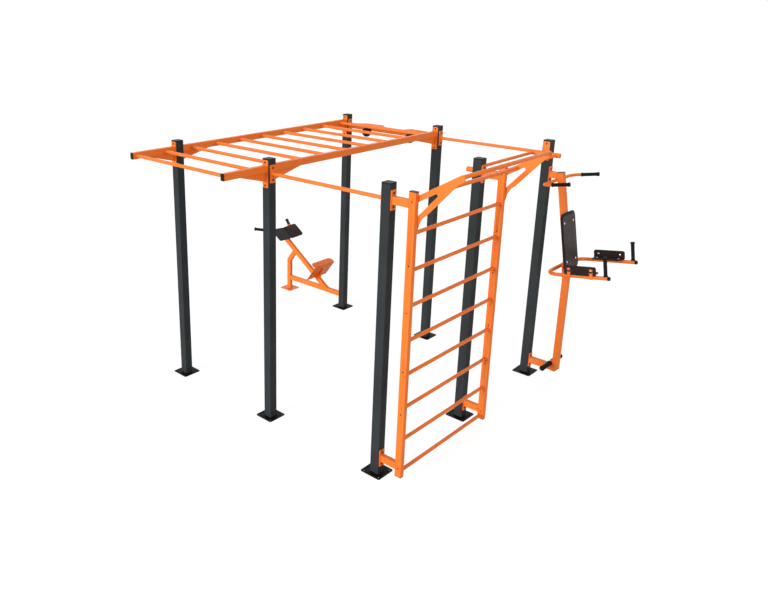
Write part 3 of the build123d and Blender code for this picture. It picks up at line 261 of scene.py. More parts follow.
# %% Finish and soft edges of the CAD nodes
EDGE_ROUND = 0.0012
SPLIT_GAP = 0.00002
FOLD_ANGLE = math.radians(40)
FINISHES = [
    (graphite_coat, [name for name in nodes if name.startswith("post_") and name != "post_caps"]),
    (black_plastic, ["post_caps", "tube_end_caps", "pipe_end_caps"]),
    (black_rubber, ["tower_hand_grips", "chin_grips", "foot_peg_sleeves", "bench_grips", "ball_grips"]),
    # the boards take the darker brown, a painted shade for their shadow
    (shaded_board, ["tower_back_board", "tower_upright_boards", "tower_rest_boards", "bench_boards"]),
    (dark_steel, ["frame_bolts", "stile_bolts"]),
    (bright_steel, ["board_bolts"]),
]


def soften_edges(piece, width):
    join = piece.modifiers.new("join_split_edges", "WELD")
    join.merge_threshold = SPLIT_GAP
    edge = piece.modifiers.new("edge_round", "BEVEL")
    edge.width = width
    edge.segments = 2
    edge.limit_method = "ANGLE"
    edge.angle_limit = FOLD_ANGLE
    edge.harden_normals = True


finish_of = {name: finish for finish, names in FINISHES for name in names}
for name, piece in nodes.items():
    piece.data.materials.clear()
    piece.data.materials.append(finish_of.get(name, orange_coat))
    soften_edges(piece, EDGE_ROUND)
print("finished nodes:", len(nodes), "of which orange:", len(nodes) - len(finish_of))

# %% [markdown]
# ## Adding a piece to the frame
# What a workshop adds, such as turned grips, bolts, thin bars, cut plates and weld beads,
# is made here. An object for each bolt or bead would give hundreds of them. So each kind
# has a helper that returns points and faces, and join_shapes makes one piece of many
# such shapes, ties it to the frame and hides the CAD nodes it stands for.

# %% Join shapes into a piece that rides on the frame
SMOOTH_BELOW = math.radians(35)


def settle(piece, finish, stands_for=()):
    """Gives a new piece its finish, ties it to the frame and hides the CAD nodes it stands for."""
    bpy.context.scene.collection.objects.link(piece)
    piece.data.materials.append(finish)
    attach(piece, "root")
    if stands_for:
        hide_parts(*stands_for)
    return piece


def join_shapes(name, shapes, finish, stands_for=(), soft=0.0):
    """One piece from (points, faces) shapes; soft is the round of its edges."""
    points, faces = [], []
    for shape_points, shape_faces in shapes:
        first = len(points)
        points += [tuple(point) for point in shape_points]
        faces += [[first + spot for spot in face] for face in shape_faces]
    mesh = bpy.data.meshes.new(name)
    mesh.from_pydata(points, [], faces)
    mesh.shade_smooth()
    mesh.set_sharp_from_angle(angle=SMOOTH_BELOW)
    print(name, "faces:", len(faces))
    piece = settle(bpy.data.objects.new(name, mesh), finish, stands_for)
    if soft:
        soften_edges(piece, soft)
    return piece


# %% [markdown]
# ## Turned shapes
# Grips, caps, washers and bolts are round about an axis, as from a lathe. A side view of
# distances and radii becomes rings of points, and faces join each ring to the next. A
# Screw modifier could turn it too, but rings can be joined to other shapes at once, and
# the same faces serve for tubes that bend.

# %% Circles, rings and the lathe
def circle(centre, across, over, radius, count):
    turns = [math.tau * k / count for k in range(count)]
    return [centre + (across * math.cos(turn) + over * math.sin(turn)) * radius for turn in turns]


def close_rings(total, count, mirrored=False):
    """Faces between rings of count points each, with both ends closed."""
    faces = [
        (row + k, row + (k + 1) % count, row + count + (k + 1) % count, row + count + k)
        for row in range(0, total - count, count) for k in range(count)
    ]
    faces += [tuple(reversed(range(count))), tuple(range(total - count, total))]
    return [face[::-1] for face in faces] if mirrored else faces


def turned(start, end, profile, sides=24):
    """A turned shape from start towards end; the profile is (distance, radius) pairs."""
    axis = (end - start).normalized()
    across = axis.orthogonal().normalized()
    over = axis.cross(across)
    rings = [circle(start + axis * far, across, over, radius, sides) for far, radius in profile]
    points = [spot for ring_points in rings for spot in ring_points]
    return points, close_rings(len(points), sides)


# %% [markdown]
# ## Cut plates
# Brackets and base plates are cut from sheet, so they start as a flat drawing with round
# corners and holes. Blender fills a closed 2D curve, holes included, and its extrude
# value is half the sheet. That needs no boolean, which may fail on thin metal.

# %% Outlines with round corners
HOLE_STEPS = 16


def rounded(corners, steps=5):
    """A closed outline with an arc at each corner, from (x, y, radius) triples."""
    loop = []
    for k, (x, y, radius) in enumerate(corners):
        corner = Vector((x, y))
        back = (Vector(corners[k - 1][:2]) - corner).normalized()
        onward = (Vector(corners[(k + 1) % len(corners)][:2]) - corner).normalized()
        if not radius:
            loop.append(corner)
            continue
        half = back.angle(onward) / 2
        centre = corner + (back + onward).normalized() * radius / math.sin(half)
        arm = corner + back * radius / math.tan(half) - centre
        turn = (math.pi - 2 * half) * (1 if back.x * onward.y - back.y * onward.x < 0 else -1)
        for step in range(steps + 1):
            part = turn * step / steps
            sine, cosine = math.sin(part), math.cos(part)
            loop.append(centre + Vector((arm.x * cosine - arm.y * sine, arm.x * sine + arm.y * cosine)))
    return loop


def block_outline(wide, high, radius):
    x, y = wide / 2, high / 2
    return rounded([(x, y, radius), (-x, y, radius), (-x, -y, radius), (x, -y, radius)])


def round_hole(x, y, radius):
    return circle(Vector((x, y)), Vector((1, 0)), Vector((0, 1)), radius, HOLE_STEPS)


# %% Plates from a filled curve
def cut_plate(place, outline, thick, holes=()):
    """A flat plate round its place, cut to closed outlines."""
    drawing = bpy.data.curves.new("cut_plate", "CURVE")
    drawing.dimensions, drawing.fill_mode = "2D", "BOTH"
    drawing.extrude = thick / 2
    for loop in (outline, *holes):
        spline = drawing.splines.new("POLY")
        spline.points.add(len(loop) - 1)
        for spot, (x, y) in zip(spline.points, loop):
            spot.co = (x, y, 0, 1)
        spline.use_cyclic_u = True
    mesh = bpy.data.meshes.new_from_object(bpy.data.objects.new("cut_plate", drawing))
    points = [place @ point.co for point in mesh.vertices]
    return points, [tuple(face.vertices) for face in mesh.polygons]


def facing(origin, x_dir, normal):
    """The place of a flat drawing: its origin, its x direction and what it faces."""
    x_dir, normal = Vector(x_dir).normalized(), Vector(normal).normalized()
    turn = Matrix((x_dir, normal.cross(x_dir), normal)).transposed().to_4x4()
    return Matrix.Translation(origin) @ turn


# %% [markdown]
# ## Slim bench frame
# The bench stands on a box tube that lies near the ground, a bent upright and a slanted
# beam. In the picture they are deep and narrow, like the ladder's rails. A curve with a
# bevel could sweep them, but it pinches at a sharp bend. So a rounded outline is set at
# each end of a tube and along the mitre at its bend, and the plates are cut from sheet.

# %% Directions, and sizes that the frame repeats
ALONG, SIDEWAYS, UP = Vector((1, 0, 0)), Vector((0, 1, 0)), Vector((0, 0, 1))
PITCH = 1.337
POST_HALF, PLATE_THICK = 0.043, 0.008
PLATE_FACE = POST_HALF + PLATE_THICK
PLATE_WIDE, PLATE_CORNER = 0.066, 0.006
print("a bolted plate's outer face lies", round(PLATE_FACE, 4), "from its post's axis")


# %% Box tubes
def box_tube(route, wide, deep, radius=0.0025):
    """A box tube along a route that bends in an upright plane, with mitred bends."""
    rim, points = block_outline(wide, deep, radius), []
    for k, spot in enumerate(route):
        runs = [(b - a).normalized() for a, b in zip(route, route[1:])][max(k - 1, 0):k + 1]
        overs = [SIDEWAYS.cross(run) for run in runs]
        mitre = (overs[0] + overs[-1]).normalized()
        mitre /= mitre.dot(overs[0])
        points += [spot + SIDEWAYS * across + mitre * over for across, over in rim]
    return points, close_rings(len(points), len(rim), mirrored=True)


# %% The bench's slanted line
BENCH_SIDE = 2 * PITCH
BENCH_HEEL = Vector((-0.245, BENCH_SIDE, 0.201))
BENCH_ANGLE = math.radians(35.5)
BENCH_LINE = Vector((-math.cos(BENCH_ANGLE), 0, math.sin(BENCH_ANGLE)))
BENCH_RISE = Vector((math.sin(BENCH_ANGLE), 0, math.cos(BENCH_ANGLE)))


def on_bench(along, side, above):
    """A place by its distances along the slanted line, sideways and square above it."""
    return BENCH_HEEL + BENCH_LINE * along + SIDEWAYS * side + BENCH_RISE * above


# %% Upright, low tube and beam
BENCH_DEEP, BENCH_WIDE = 0.062, 0.044
UPRIGHT_AT, UPRIGHT_BEND, LOW_TUBE_HIGH = -1.005, 0.430, 0.170
UPRIGHT_FACE = UPRIGHT_AT + BENCH_DEEP / 2
BEAM_AXIS, BEAM_END = -0.051, 1.146
FOOT_THICK = 0.006

bend = Vector((UPRIGHT_AT, BENCH_SIDE, UPRIGHT_BEND))
upright_foot = Vector((UPRIGHT_AT, BENCH_SIDE, FOOT_THICK))
upright_top = on_bench((bend - BENCH_HEEL).dot(BENCH_LINE), 0, BEAM_AXIS - BENCH_DEEP / 2)
low_ends = [Vector((x, BENCH_SIDE, LOW_TUBE_HIGH)) for x in (-PLATE_FACE, UPRIGHT_FACE)]
beam_ends = [on_bench(along, 0, BEAM_AXIS) for along in (0.0, BEAM_END)]
upright, low_tube, (beam, beam_faces) = [
    box_tube(route, BENCH_WIDE, BENCH_DEEP) for route in ([upright_foot, bend, upright_top], low_ends, beam_ends)
]
for k in range(len(beam) // 2):  # the beam's lower end is cut level, where it stands on the low tube
    beam[k] += BENCH_LINE * ((BENCH_HEEL.z - beam[k].z) / BENCH_LINE.z)
print("the beam meets the upright at", [round(v, 3) for v in upright_top])

# %% Foot plate, wall plate and the joined frame
FOOT_SIDE, FOOT_CORNER, FOOT_HOLE_AT, FOOT_HOLE = 0.198, 0.016, 0.075, 0.007
WALL_PLATE_HIGH = 0.165

foot = cut_plate(
    facing((UPRIGHT_AT, BENCH_SIDE, FOOT_THICK / 2), ALONG, UP),
    block_outline(FOOT_SIDE, FOOT_SIDE, FOOT_CORNER), FOOT_THICK,
    [round_hole(FOOT_HOLE_AT * i, FOOT_HOLE_AT * j, FOOT_HOLE) for i in (-1, 1) for j in (-1, 1)],
)
wall_plate = cut_plate(
    facing((PLATE_THICK / 2 - PLATE_FACE, BENCH_SIDE, LOW_TUBE_HIGH), SIDEWAYS, -ALONG),
    block_outline(PLATE_WIDE, WALL_PLATE_HIGH, PLATE_CORNER), PLATE_THICK,
)
join_shapes(
    "bench_frame", [upright, low_tube, (beam, beam_faces), foot, wall_plate], orange_coat,
    ["bench_upright", "bench_base_tube", "bench_beam"], EDGE_ROUND,
)

# %% [markdown]
# ## Foot rest of bent sheet
# One sheet is folded over a bar, so its fold is round and not sharp. Both its faces
# could be drawn, but one is enough: rows of points follow its side view, each row as
# wide as the sheet is there, and a Solidify modifier gives the thickness. The lowest
# row leaves out its middle, where the beam passes. A small rib stiffens the sheet.

# %% Side view of the foot rest
REST_AT, REST_HALF, REST_LOW, REST_HIGH = 0.255, 0.199, -0.063, 0.202
SLOT_TOP, SLOT_PLAY = -0.0185, 0.001
FOLD, FOLD_STEPS = 0.012, 6
FLANGE_LONG, FLANGE_DROP, FLANGE_CORNER, FLANGE_STEPS = 0.091, 0.015, 0.052, 12

side_view = [(REST_AT, above, REST_HALF) for above in (REST_LOW, SLOT_TOP, REST_HIGH - FOLD)]
for step in range(1, FOLD_STEPS):
    turn = math.radians(90 * step / FOLD_STEPS)
    side_view.append((REST_AT + FOLD * (1 - math.cos(turn)), REST_HIGH - FOLD * (1 - math.sin(turn)), REST_HALF))
for step in range(FLANGE_STEPS):
    share = step / (FLANGE_STEPS - 1)
    along = FOLD + (FLANGE_LONG - FOLD) * math.sin(share * math.pi / 2)
    past = max(0.0, along - (FLANGE_LONG - FLANGE_CORNER))
    half = REST_HALF - FLANGE_CORNER + math.sqrt(max(0.0, FLANGE_CORNER**2 - past**2))
    side_view.append((REST_AT + along, REST_HIGH - FLANGE_DROP * along / FLANGE_LONG, half))
print("rows of the foot rest:", len(side_view))

# %% Foot rest and its rib
SHEET_THICK, SHEET_EDGE = 0.005, 0.001
RIB_HIGH, RIB_LOW, RIB_LONG, RIB_THICK, RIB_CORNER = 0.150, -0.021, 0.065, 0.008, 0.004

gap = BENCH_WIDE / 2 + SLOT_PLAY
sheet_points = [on_bench(along, side, above) for along, above, half in side_view for side in (-half, -gap, gap, half)]
sheet_faces = [
    (4 * row + col, 4 * row + col + 1, 4 * row + col + 5, 4 * row + col + 4)
    for row in range(len(side_view) - 1) for col in range(3) if not (row == 0 and col == 1)
]
sheet = join_shapes(
    "bench_foot_rest", [(sheet_points, sheet_faces)], orange_coat, ["bench_footrest"]
)
thickness = sheet.modifiers.new("sheet_thickness", "SOLIDIFY")
thickness.thickness, thickness.offset = SHEET_THICK, -1
soften_edges(sheet, SHEET_EDGE)
rib_outline = rounded([
    (REST_AT, RIB_HIGH, RIB_CORNER), (REST_AT, RIB_LOW, 0), (REST_AT - RIB_LONG, RIB_LOW, RIB_CORNER)
], 3)
rib = cut_plate(facing(on_bench(0, 0, 0), BENCH_LINE, SIDEWAYS), rib_outline, RIB_THICK)
join_shapes("bench_foot_rest_rib", [rib], orange_coat, soft=EDGE_ROUND)

# %% [markdown]
# ## Overhang brackets
# Each bracket is cut from plate: a slanted arm over a flared brace, round an open
# triangle. A flat drawing of straight runs, arcs and one curve is filled and given a
# thickness, which is how the real one is cut.

# %% Slants of the bracket, as drawn from the stile's face
STILE_FACE, STILE_HALF = 2.942, 0.022
SLANT_ROOT, SLANT_TAN = 2.533, math.tan(math.radians(30.6))
BRACE_ROOT, BRACE_TAN = 2.371, math.tan(math.radians(47.5))
SLANT_THICK, TIP_THICK, BRACE_THICK, REACH = 0.052, 0.064, 0.067, 0.384


def slant_edge(x, drop=0.0):
    return x, SLANT_ROOT + SLANT_TAN * x - drop


def brace_edge(x, drop=0.0):
    return x, BRACE_ROOT + BRACE_TAN * x - drop


knee = (SLANT_ROOT - TIP_THICK - BRACE_ROOT + BRACE_THICK) / (BRACE_TAN - SLANT_TAN)
apex = (SLANT_ROOT - SLANT_THICK - BRACE_ROOT) / (BRACE_TAN - SLANT_TAN)
print("the brace meets the arm at", round(knee, 3), "and the opening ends at", round(apex, 3))

# %% Overhang brackets
LAP, BRACKET_FOOT, PLATE_EDGE = 0.048, 2.252, 0.003
TIP_CORNER, KNEE_CORNER, APEX_CORNER, SPINE = 0.022, 0.01, 0.013, -0.006
FLARE_FROM, FLARE_STEPS = 0.078, 12
BRACKET_BOLT = (-0.032, 2.485, 0.0055)

flare_end, flare_foot = Vector(brace_edge(FLARE_FROM, BRACE_THICK)), Vector((0, BRACKET_FOOT))
flare_pull = Vector((0.012, 2.352))
flare = [
    flare_end * (1 - t) ** 2 + flare_pull * 2 * t * (1 - t) + flare_foot * t * t
    for t in [k / FLARE_STEPS for k in range(FLARE_STEPS + 1)]
]
bracket_outline = rounded([
    (-LAP, BRACKET_FOOT, PLATE_EDGE), (-LAP, SLANT_ROOT, PLATE_EDGE), (*slant_edge(0), 0),
    (*slant_edge(REACH), TIP_CORNER), (*slant_edge(REACH, TIP_THICK), TIP_CORNER),
    (*slant_edge(knee, TIP_THICK), KNEE_CORNER), *((x, z, 0) for x, z in flare),
])
opening = rounded([
    (*brace_edge(SPINE), 0), (*slant_edge(SPINE, SLANT_THICK), 0), (*slant_edge(apex, SLANT_THICK), APEX_CORNER)
])
for name, post_y in (("overhang_bracket_front", 0), ("overhang_bracket_back", PITCH)):
    place = facing((STILE_FACE, post_y + STILE_HALF + PLATE_THICK / 2, 0), ALONG, -SIDEWAYS)
    bracket = cut_plate(place, bracket_outline, PLATE_THICK, [opening, round_hole(*BRACKET_BOLT)])
    join_shapes("cut_" + name, [bracket], orange_coat, [name], EDGE_ROUND)

# %% [markdown]
# ## Slim parallel bars
# The two parallel bars are round tubes between the cross pipes, thinner than those. They
# run from one pipe's axis to the other's, because a real one is cut to fit round the pipe
# and what lies inside the pipe isn't seen.

# %% Parallel bars
DIP_BAR_RADIUS, DIP_BAR_HALF_GAP, DIP_HIGH = 0.016, 0.125, 2.465
PIPE_AXIS = PLATE_FACE + 0.02315
DIP_BAR_X = (2 * PITCH - DIP_BAR_HALF_GAP, 2 * PITCH + DIP_BAR_HALF_GAP)

for name, x in zip(("dip_bar_left", "dip_bar_right"), DIP_BAR_X):
    start, end = [Vector((x, y, DIP_HIGH)) for y in (PITCH + PIPE_AXIS, 2 * PITCH - PIPE_AXIS)]
    bar = turned(start, end, [(0, DIP_BAR_RADIUS), ((end - start).length, DIP_BAR_RADIUS)])
    join_shapes("slim_" + name, [bar], orange_coat, [name])

# %% [markdown]
# ## Bolts
# The frame is held by hexagon bolts with washers, the boards by low round heads with a
# nut behind. Their places are read from the CAD bolts, so that none is ever out of its
# hole: each loose solid of the node is one bolt, its long axis is the bolt's, and its
# wider end is the head.

# %% Find the solids of a node and their ends
def loose_solids(name):
    """The points of each loose solid of a node, in the order of its mesh."""
    soup = bmesh.new()
    soup.from_mesh(nodes[name].data)
    bmesh.ops.remove_doubles(soup, verts=soup.verts, dist=SPLIT_GAP)
    met, clouds = set(), []
    for first in soup.verts:
        if first in met:
            continue
        met.add(first)
        wave, solid = [first], []
        while wave:
            spot = wave.pop()
            solid.append(spot.co.copy())
            for edge in spot.link_edges:
                other = edge.other_vert(spot)
                if other not in met:
                    met.add(other)
                    wave.append(other)
        clouds.append(numpy.array(solid))
    soup.free()
    return clouds


def ends_of(cloud):
    """The thin end and the thick end of a round solid's axis."""
    centre = cloud.mean(0)
    arms = cloud - centre
    values, vectors = numpy.linalg.eigh(numpy.cov(arms.T))
    axis = vectors[:, 2 if values[2] - values[1] > values[1] - values[0] else 0]
    along = arms @ axis
    away = numpy.linalg.norm(arms - numpy.outer(along, axis), axis=1)
    if along[away.argmax()] < 0:
        axis, along = -axis, -along
    return Vector(centre + axis * along.min()), Vector(centre + axis * along.max())


# %% Bolts as turned parts
# Each part has (distance from the tail, radius) pairs, then (distance below the head's
# top, radius) pairs, so that it fits a bolt of any length, and a number of sides.
HEXAGON_BOLT = [
    ([(0, 0.004), (0.0015, 0.005)], [(0.0065, 0.005)], 10),
    ([], [(0.0065, 0.0105), (0.0053, 0.0105), (0.0049, 0.0101)], 20),
    ([], [(0.0049, 0.0088), (0.0043, 0.0092), (0.0012, 0.0092), (0, 0.0078)], 6),
]
DOME = [(0.005, 0.0105), (0.0042, 0.0109), (0.0024, 0.0092), (0.001, 0.0062), (0.0002, 0.0028), (0, 0.0008)]
ROUND_BOLT = [
    ([(0, 0.0034), (0.001, 0.004)], [(0.005, 0.004), *DOME], 20),
    ([(0.0005, 0.0062), (0.001, 0.0068), (0.0044, 0.0068), (0.0049, 0.0062)], [], 6),
]


def bolt(tail, top, parts):
    """The turned parts of one bolt: shank, washer and hexagon, or shank with dome and nut."""
    long = (top - tail).length
    return [
        turned(tail, top, from_tail + [(long - below, radius) for below, radius in from_top], sides)
        for from_tail, from_top, sides in parts
    ]


for name, parts, new_name, finish, slot_name in (
    ("frame_bolts", HEXAGON_BOLT, "hexagon_frame_bolts", dark_steel, "dark_steel"),
    ("stile_bolts", HEXAGON_BOLT, "hexagon_stile_bolts", dark_steel, "dark_steel"),
    ("board_bolts", ROUND_BOLT, "round_board_bolts", bright_steel, "zinc_steel"),
):
    places = [ends_of(cloud) for cloud in loose_solids(name)]
    print(name, len(places), "first:", [tuple(round(v, 4) for v in end) for end in places[0]])
    join_shapes(new_name, [part for tail, top in places for part in bolt(tail, top, parts)], finish, [name])

# %% [markdown]
# ## Rubber grips
# A moulded grip has a collar at each end and fine ribs round the hand between them, and
# its outer end is domed. It could be a cylinder with a rib texture, but the ribs show at
# its outline, and it is a lathe shape anyway. So one profile of distances and radii makes
# every grip, fitted to the length of the CAD sleeve.

# %% Profile of a ribbed grip
RIB_STEP, RIB_DEEP, GROOVE = 0.008, 0.0009, (0.3, 0.55)
COLLAR, SLOPE, LIP = 0.009, 0.0015, 0.001
RIBS_FROM, RIBS_UP_TO = 0.012, 0.018
# The crown is (share of its height left, share of the collar's radius) pairs.
CROWN_HIGH, CROWN = 0.006, [(1, 1), (0.4, 0.97), (0.1, 0.88), (0, 0.78)]


def ribbed_grip(inner, outer, body, collar):
    """A sleeve with two collars and ribs between them; the outer end is domed."""
    long = (outer - inner).length
    profile = [(0, body * 0.9), (0, collar - LIP), (LIP, collar), (COLLAR, collar), (COLLAR + SLOPE, body)]
    ribbed = long - RIBS_FROM - RIBS_UP_TO
    ribs = round(ribbed / RIB_STEP)
    for k in range(ribs):
        at = RIBS_FROM + ribbed * k / ribs
        profile += [(at, body)] + [(at + RIB_STEP * share, body - RIB_DEEP) for share in GROOVE]
    profile += [(long - RIBS_UP_TO, body), (long - RIBS_UP_TO + SLOPE, collar)]
    profile += [(long - CROWN_HIGH * left, collar * share) for left, share in CROWN]
    return turned(inner, outer, profile)


# %% Grips of the tower
CHIN_BACK = 2.8


def grips(name, body, collar, from_root, start=0.0, longer=0.0):
    """Ribbed grips in place of a node's sleeves; from_root measures how far out an end is."""
    shapes = []
    for cloud in loose_solids(name):
        inner, outer = sorted(ends_of(cloud), key=from_root)
        print(name, [tuple(round(v, 4) for v in end) for end in (inner, outer)])
        way = (outer - inner).normalized()
        shapes.append(ribbed_grip(inner + way * start, outer + way * longer, body, collar))
    return join_shapes("ribbed_" + name, shapes, black_rubber, [name])


grips("tower_hand_grips", body=0.018, collar=0.0215, from_root=lambda end: end.z, longer=0.008)
grips("chin_grips", body=0.0185, collar=0.022, from_root=lambda end: abs(end.x - CHIN_BACK), start=0.014)
grips("foot_peg_sleeves", body=0.0255, collar=0.028, from_root=lambda end: abs(end.y - BENCH_SIDE))

# %% [markdown]
# ## Bench handles
# One round tube is bent twice: its middle lies on the beam behind the boards, and its
# two legs run outwards nearly level. A real bend is an arc, so the helper rounds each
# corner of a short route and then sweeps rings of points along it.

# %% Routes with round bends, and rods along them
def rounded_route(route, bend, steps=8):
    """A route whose corners are arcs of one bend radius."""
    line = [route[0]]
    for before, corner, after in zip(route, route[1:], route[2:]):
        back, onward = (before - corner).normalized(), (after - corner).normalized()
        half = back.angle(onward) / 2
        centre = corner + (back + onward).normalized() * bend / math.sin(half)
        first, last = [corner + way * bend / math.tan(half) - centre for way in (back, onward)]
        line += [centre + first.lerp(last, k / steps).normalized() * bend for k in range(steps + 1)]
    return line + [route[-1]]


def bent_rod(line, radius, sides=20):
    """A round rod along a line of points, without twist."""
    over, points = (line[1] - line[0]).orthogonal(), []
    for k, spot in enumerate(line):
        run = (line[min(k + 1, len(line) - 1)] - line[max(k - 1, 0)]).normalized()
        over = (over - run * over.dot(run)).normalized()
        points += circle(spot, over.cross(run), over, radius, sides)
    return points, close_rings(len(points), sides, mirrored=True)


# %% Bench handles and their grips
HORN_RADIUS, HORN_BEND, HORN_GRIP, GRIP_WALL = 0.016, 0.060, 0.206, 0.008
HORN_TIP_X, HORN_TIP_HALF, HORN_TIP_HIGH = -1.388, 0.328, 0.875
HORN_ROOT, HORN_ROOT_HALF, HORN_ROOT_ABOVE = 1.127, 0.165, -0.004

tips = [Vector((HORN_TIP_X, BENCH_SIDE + side * HORN_TIP_HALF, HORN_TIP_HIGH)) for side in (-1, 1)]
roots = [on_bench(HORN_ROOT, side * HORN_ROOT_HALF, HORN_ROOT_ABOVE) for side in (-1, 1)]
inwards = [(root - tip).normalized() for tip, root in zip(tips, roots)]
tube_ends = [tip + way * GRIP_WALL for tip, way in zip(tips, inwards)]
handle = bent_rod(rounded_route([tube_ends[0], *roots, tube_ends[1]], HORN_BEND), HORN_RADIUS)
join_shapes("bent_bench_handles", [handle], orange_coat, ["bench_handles"])
horn_grips = [ribbed_grip(tip + way * HORN_GRIP, tip, body=0.021, collar=0.0245) for tip, way in zip(tips, inwards)]
join_shapes("ribbed_bench_grips", horn_grips, black_rubber, ["bench_grips"])

# %% [markdown]
# ## Back board with a bevelled rim
# The back board is moulded with a dark rim that slopes away round a flat panel. Rings of
# the same rounded outline, each smaller and higher than the one before, make the side,
# the slope and a fine groove, and the last ring is closed by the panel.

# %% Back board
MAST_BEND = Vector((3.016, BENCH_SIDE, 1.313))
LEAN = math.radians(10.5)
FRONT = Vector((math.cos(LEAN), 0, math.sin(LEAN)))
UP_MAST = Vector((-math.sin(LEAN), 0, math.cos(LEAN)))
BOARD_WIDE, BOARD_LOW, BOARD_HIGH, BOARD_CORNER = 0.324, -0.022, 0.582, 0.060
# Each ring of the rim is (how far it lies inside the outline, how far it lies before the mast's axis).
RIM = [(0, 0.0352), (0, 0.0412), (0.0012, 0.0424), (0.024, 0.0468), (0.025, 0.0456), (0.0272, 0.0456),
       (0.0282, 0.0472)]

board_place = facing(MAST_BEND + UP_MAST * (BOARD_LOW + BOARD_HIGH) / 2, SIDEWAYS, FRONT)
board_points = [
    board_place @ Vector((x, y, level)) for inset, level in RIM
    for x, y in block_outline(BOARD_WIDE - 2 * inset, BOARD_HIGH - BOARD_LOW - 2 * inset, BOARD_CORNER - inset)
]
board_faces = close_rings(len(board_points), len(board_points) // len(RIM))
back_board = join_shapes(
    "rimmed_back_board", [(board_points, board_faces)], board_rim, ["tower_back_board"]
)
back_board.data.materials.append(brown_board)
back_board.data.polygons[len(board_faces) - 1].material_index = 1

# %% [markdown]
# ## Small parts of the arms
# A moulded cap closes each arm tube's end and grips a little of its outside. Two boards
# stand on the arms, longer than their two tabs are apart, with one bolt at each tab.
# Under the bolts' nuts lie dark rubber washers, wider than the nuts. All are placed by
# distances along the arm, sideways and above it, because the arms rise to the front.

# %% Caps and washers of the arms
ARM_RISE = math.radians(9.4)
ALONG_ARM = Vector((math.cos(ARM_RISE), 0, math.sin(ARM_RISE)))
ABOVE_ARM = Vector((-math.sin(ARM_RISE), 0, math.cos(ARM_RISE)))
ARM_HALF, ARM_LEVEL, CAP_FROM, CAP_UP_TO = 0.337, 0.010, 0.554, 0.5755
CAP_PROFILE = [(0, 0.0194), (0.0008, 0.0202), (0.0175, 0.0202), (0.0203, 0.0180), (0.0215, 0.014)]
TABS_AT, TAB_BOLT_HIGH, TAB_OUTSIDE = (0.180, 0.400), 0.067, (0.3595, 0.3625)
WASHER_PROFILE = [(0, 0.0138), (0.0022, 0.0145), (0.003, 0.0132)]


def on_arm(along, side, above):
    return MAST_BEND + ALONG_ARM * along + SIDEWAYS * side + ABOVE_ARM * above


arm_caps = [
    turned(*[on_arm(along, side * ARM_HALF, ARM_LEVEL) for along in (CAP_FROM, CAP_UP_TO)], CAP_PROFILE)
    for side in (-1, 1)
]
join_shapes("arm_end_caps", arm_caps, black_plastic, ["pipe_end_caps"])
washers = [
    turned(*[on_arm(at, side * out, TAB_BOLT_HIGH) for out in TAB_OUTSIDE], WASHER_PROFILE)
    for side in (-1, 1) for at in TABS_AT
]
join_shapes("arm_tab_washers", washers, black_rubber)

# %% Upright boards of the arms
BOARD_NEAR, BOARD_FAR, BOARD_FOOT, BOARD_TOP = 0.131, 0.447, 0.023, 0.117
BOARD_AT, BOARD_THICK, ARM_BOARD_CORNER, ARM_BOARD_EDGE = 0.350, 0.012, 0.020, 0.0025

board_outline = block_outline(BOARD_FAR - BOARD_NEAR, BOARD_TOP - BOARD_FOOT, ARM_BOARD_CORNER)
board_middles = [
    on_arm((BOARD_NEAR + BOARD_FAR) / 2, side * BOARD_AT, (BOARD_FOOT + BOARD_TOP) / 2) for side in (-1, 1)
]
upright_boards = [
    cut_plate(facing(middle, ALONG_ARM, -SIDEWAYS), board_outline, BOARD_THICK) for middle in board_middles
]
# The arms' boards take the darker brown, a painted shade for their shadow.
join_shapes(
    "long_upright_boards", upright_boards, shaded_board, ["tower_upright_boards"], ARM_BOARD_EDGE
)

# %% [markdown]
# ## End caps
# The moulded caps in the tubes' ends keep the CAD shape, only the bench's is as slim as
# its beam. A copy of the mesh is narrowed there, and the CAD piece itself stays as it is.

# %% End caps
CAD_BEAM_WIDE, CAD_BEAM_END, CAP_EDGE = 0.062, 1.165, 0.0018


def on_bench_cap(spot):
    """True on the one cap that is left of the bench's upright and at its height."""
    return spot.x < -1.0 and spot.z > 0.5 and abs(spot.y - BENCH_SIDE) < 0.05


caps = bpy.data.objects.new("moulded_end_caps", nodes["tube_end_caps"].data.copy())
caps.data.materials.clear()
bench_cap = [point for point in caps.data.vertices if on_bench_cap(point.co)]
for point in bench_cap:
    point.co.y = BENCH_SIDE + (point.co.y - BENCH_SIDE) * BENCH_WIDE / CAD_BEAM_WIDE
    point.co += BENCH_LINE * (BEAM_END - CAD_BEAM_END)
settle(caps, black_plastic, ["tube_end_caps"])
soften_edges(caps, CAP_EDGE)
print("points of the bench's cap:", len(bench_cap), "of", len(caps.data.vertices))

# %% [markdown]
# ## Weld beads
# Where a tube meets a plate there is a bead of weld, a few millimetres wide and slightly
# scaled, because the torch moves in steps. A closed curve with a round bevel makes it,
# and its radius goes up and down from point to point. The paint covers it, so it has the
# colour of the steel round it.

# %% Helpers for weld beads
BEAD, BEAD_STEP, THIN, THICK = 0.0032, 0.009, 0.85, 1.15


def ring(centre, axis, radius):
    """Points round a tube."""
    across = axis.orthogonal().normalized()
    count = max(12, 2 * round(math.pi * radius / BEAD_STEP))
    return circle(Vector(centre), across, axis.cross(across), radius, count)


def frame_loop(centre, wide_dir, high_dir, wide, high):
    """Points round a box tube, in steps of a bead's scale."""
    corners = [
        Vector(centre) + wide_dir * x * wide / 2 + high_dir * y * high / 2
        for x, y in ((1, 1), (-1, 1), (-1, -1), (1, -1))
    ]
    loop = []
    for one, other in zip(corners, corners[1:] + corners[:1]):
        count = max(2, round((other - one).length / BEAD_STEP))
        loop += [one.lerp(other, k / count) for k in range(count)]
    return loop


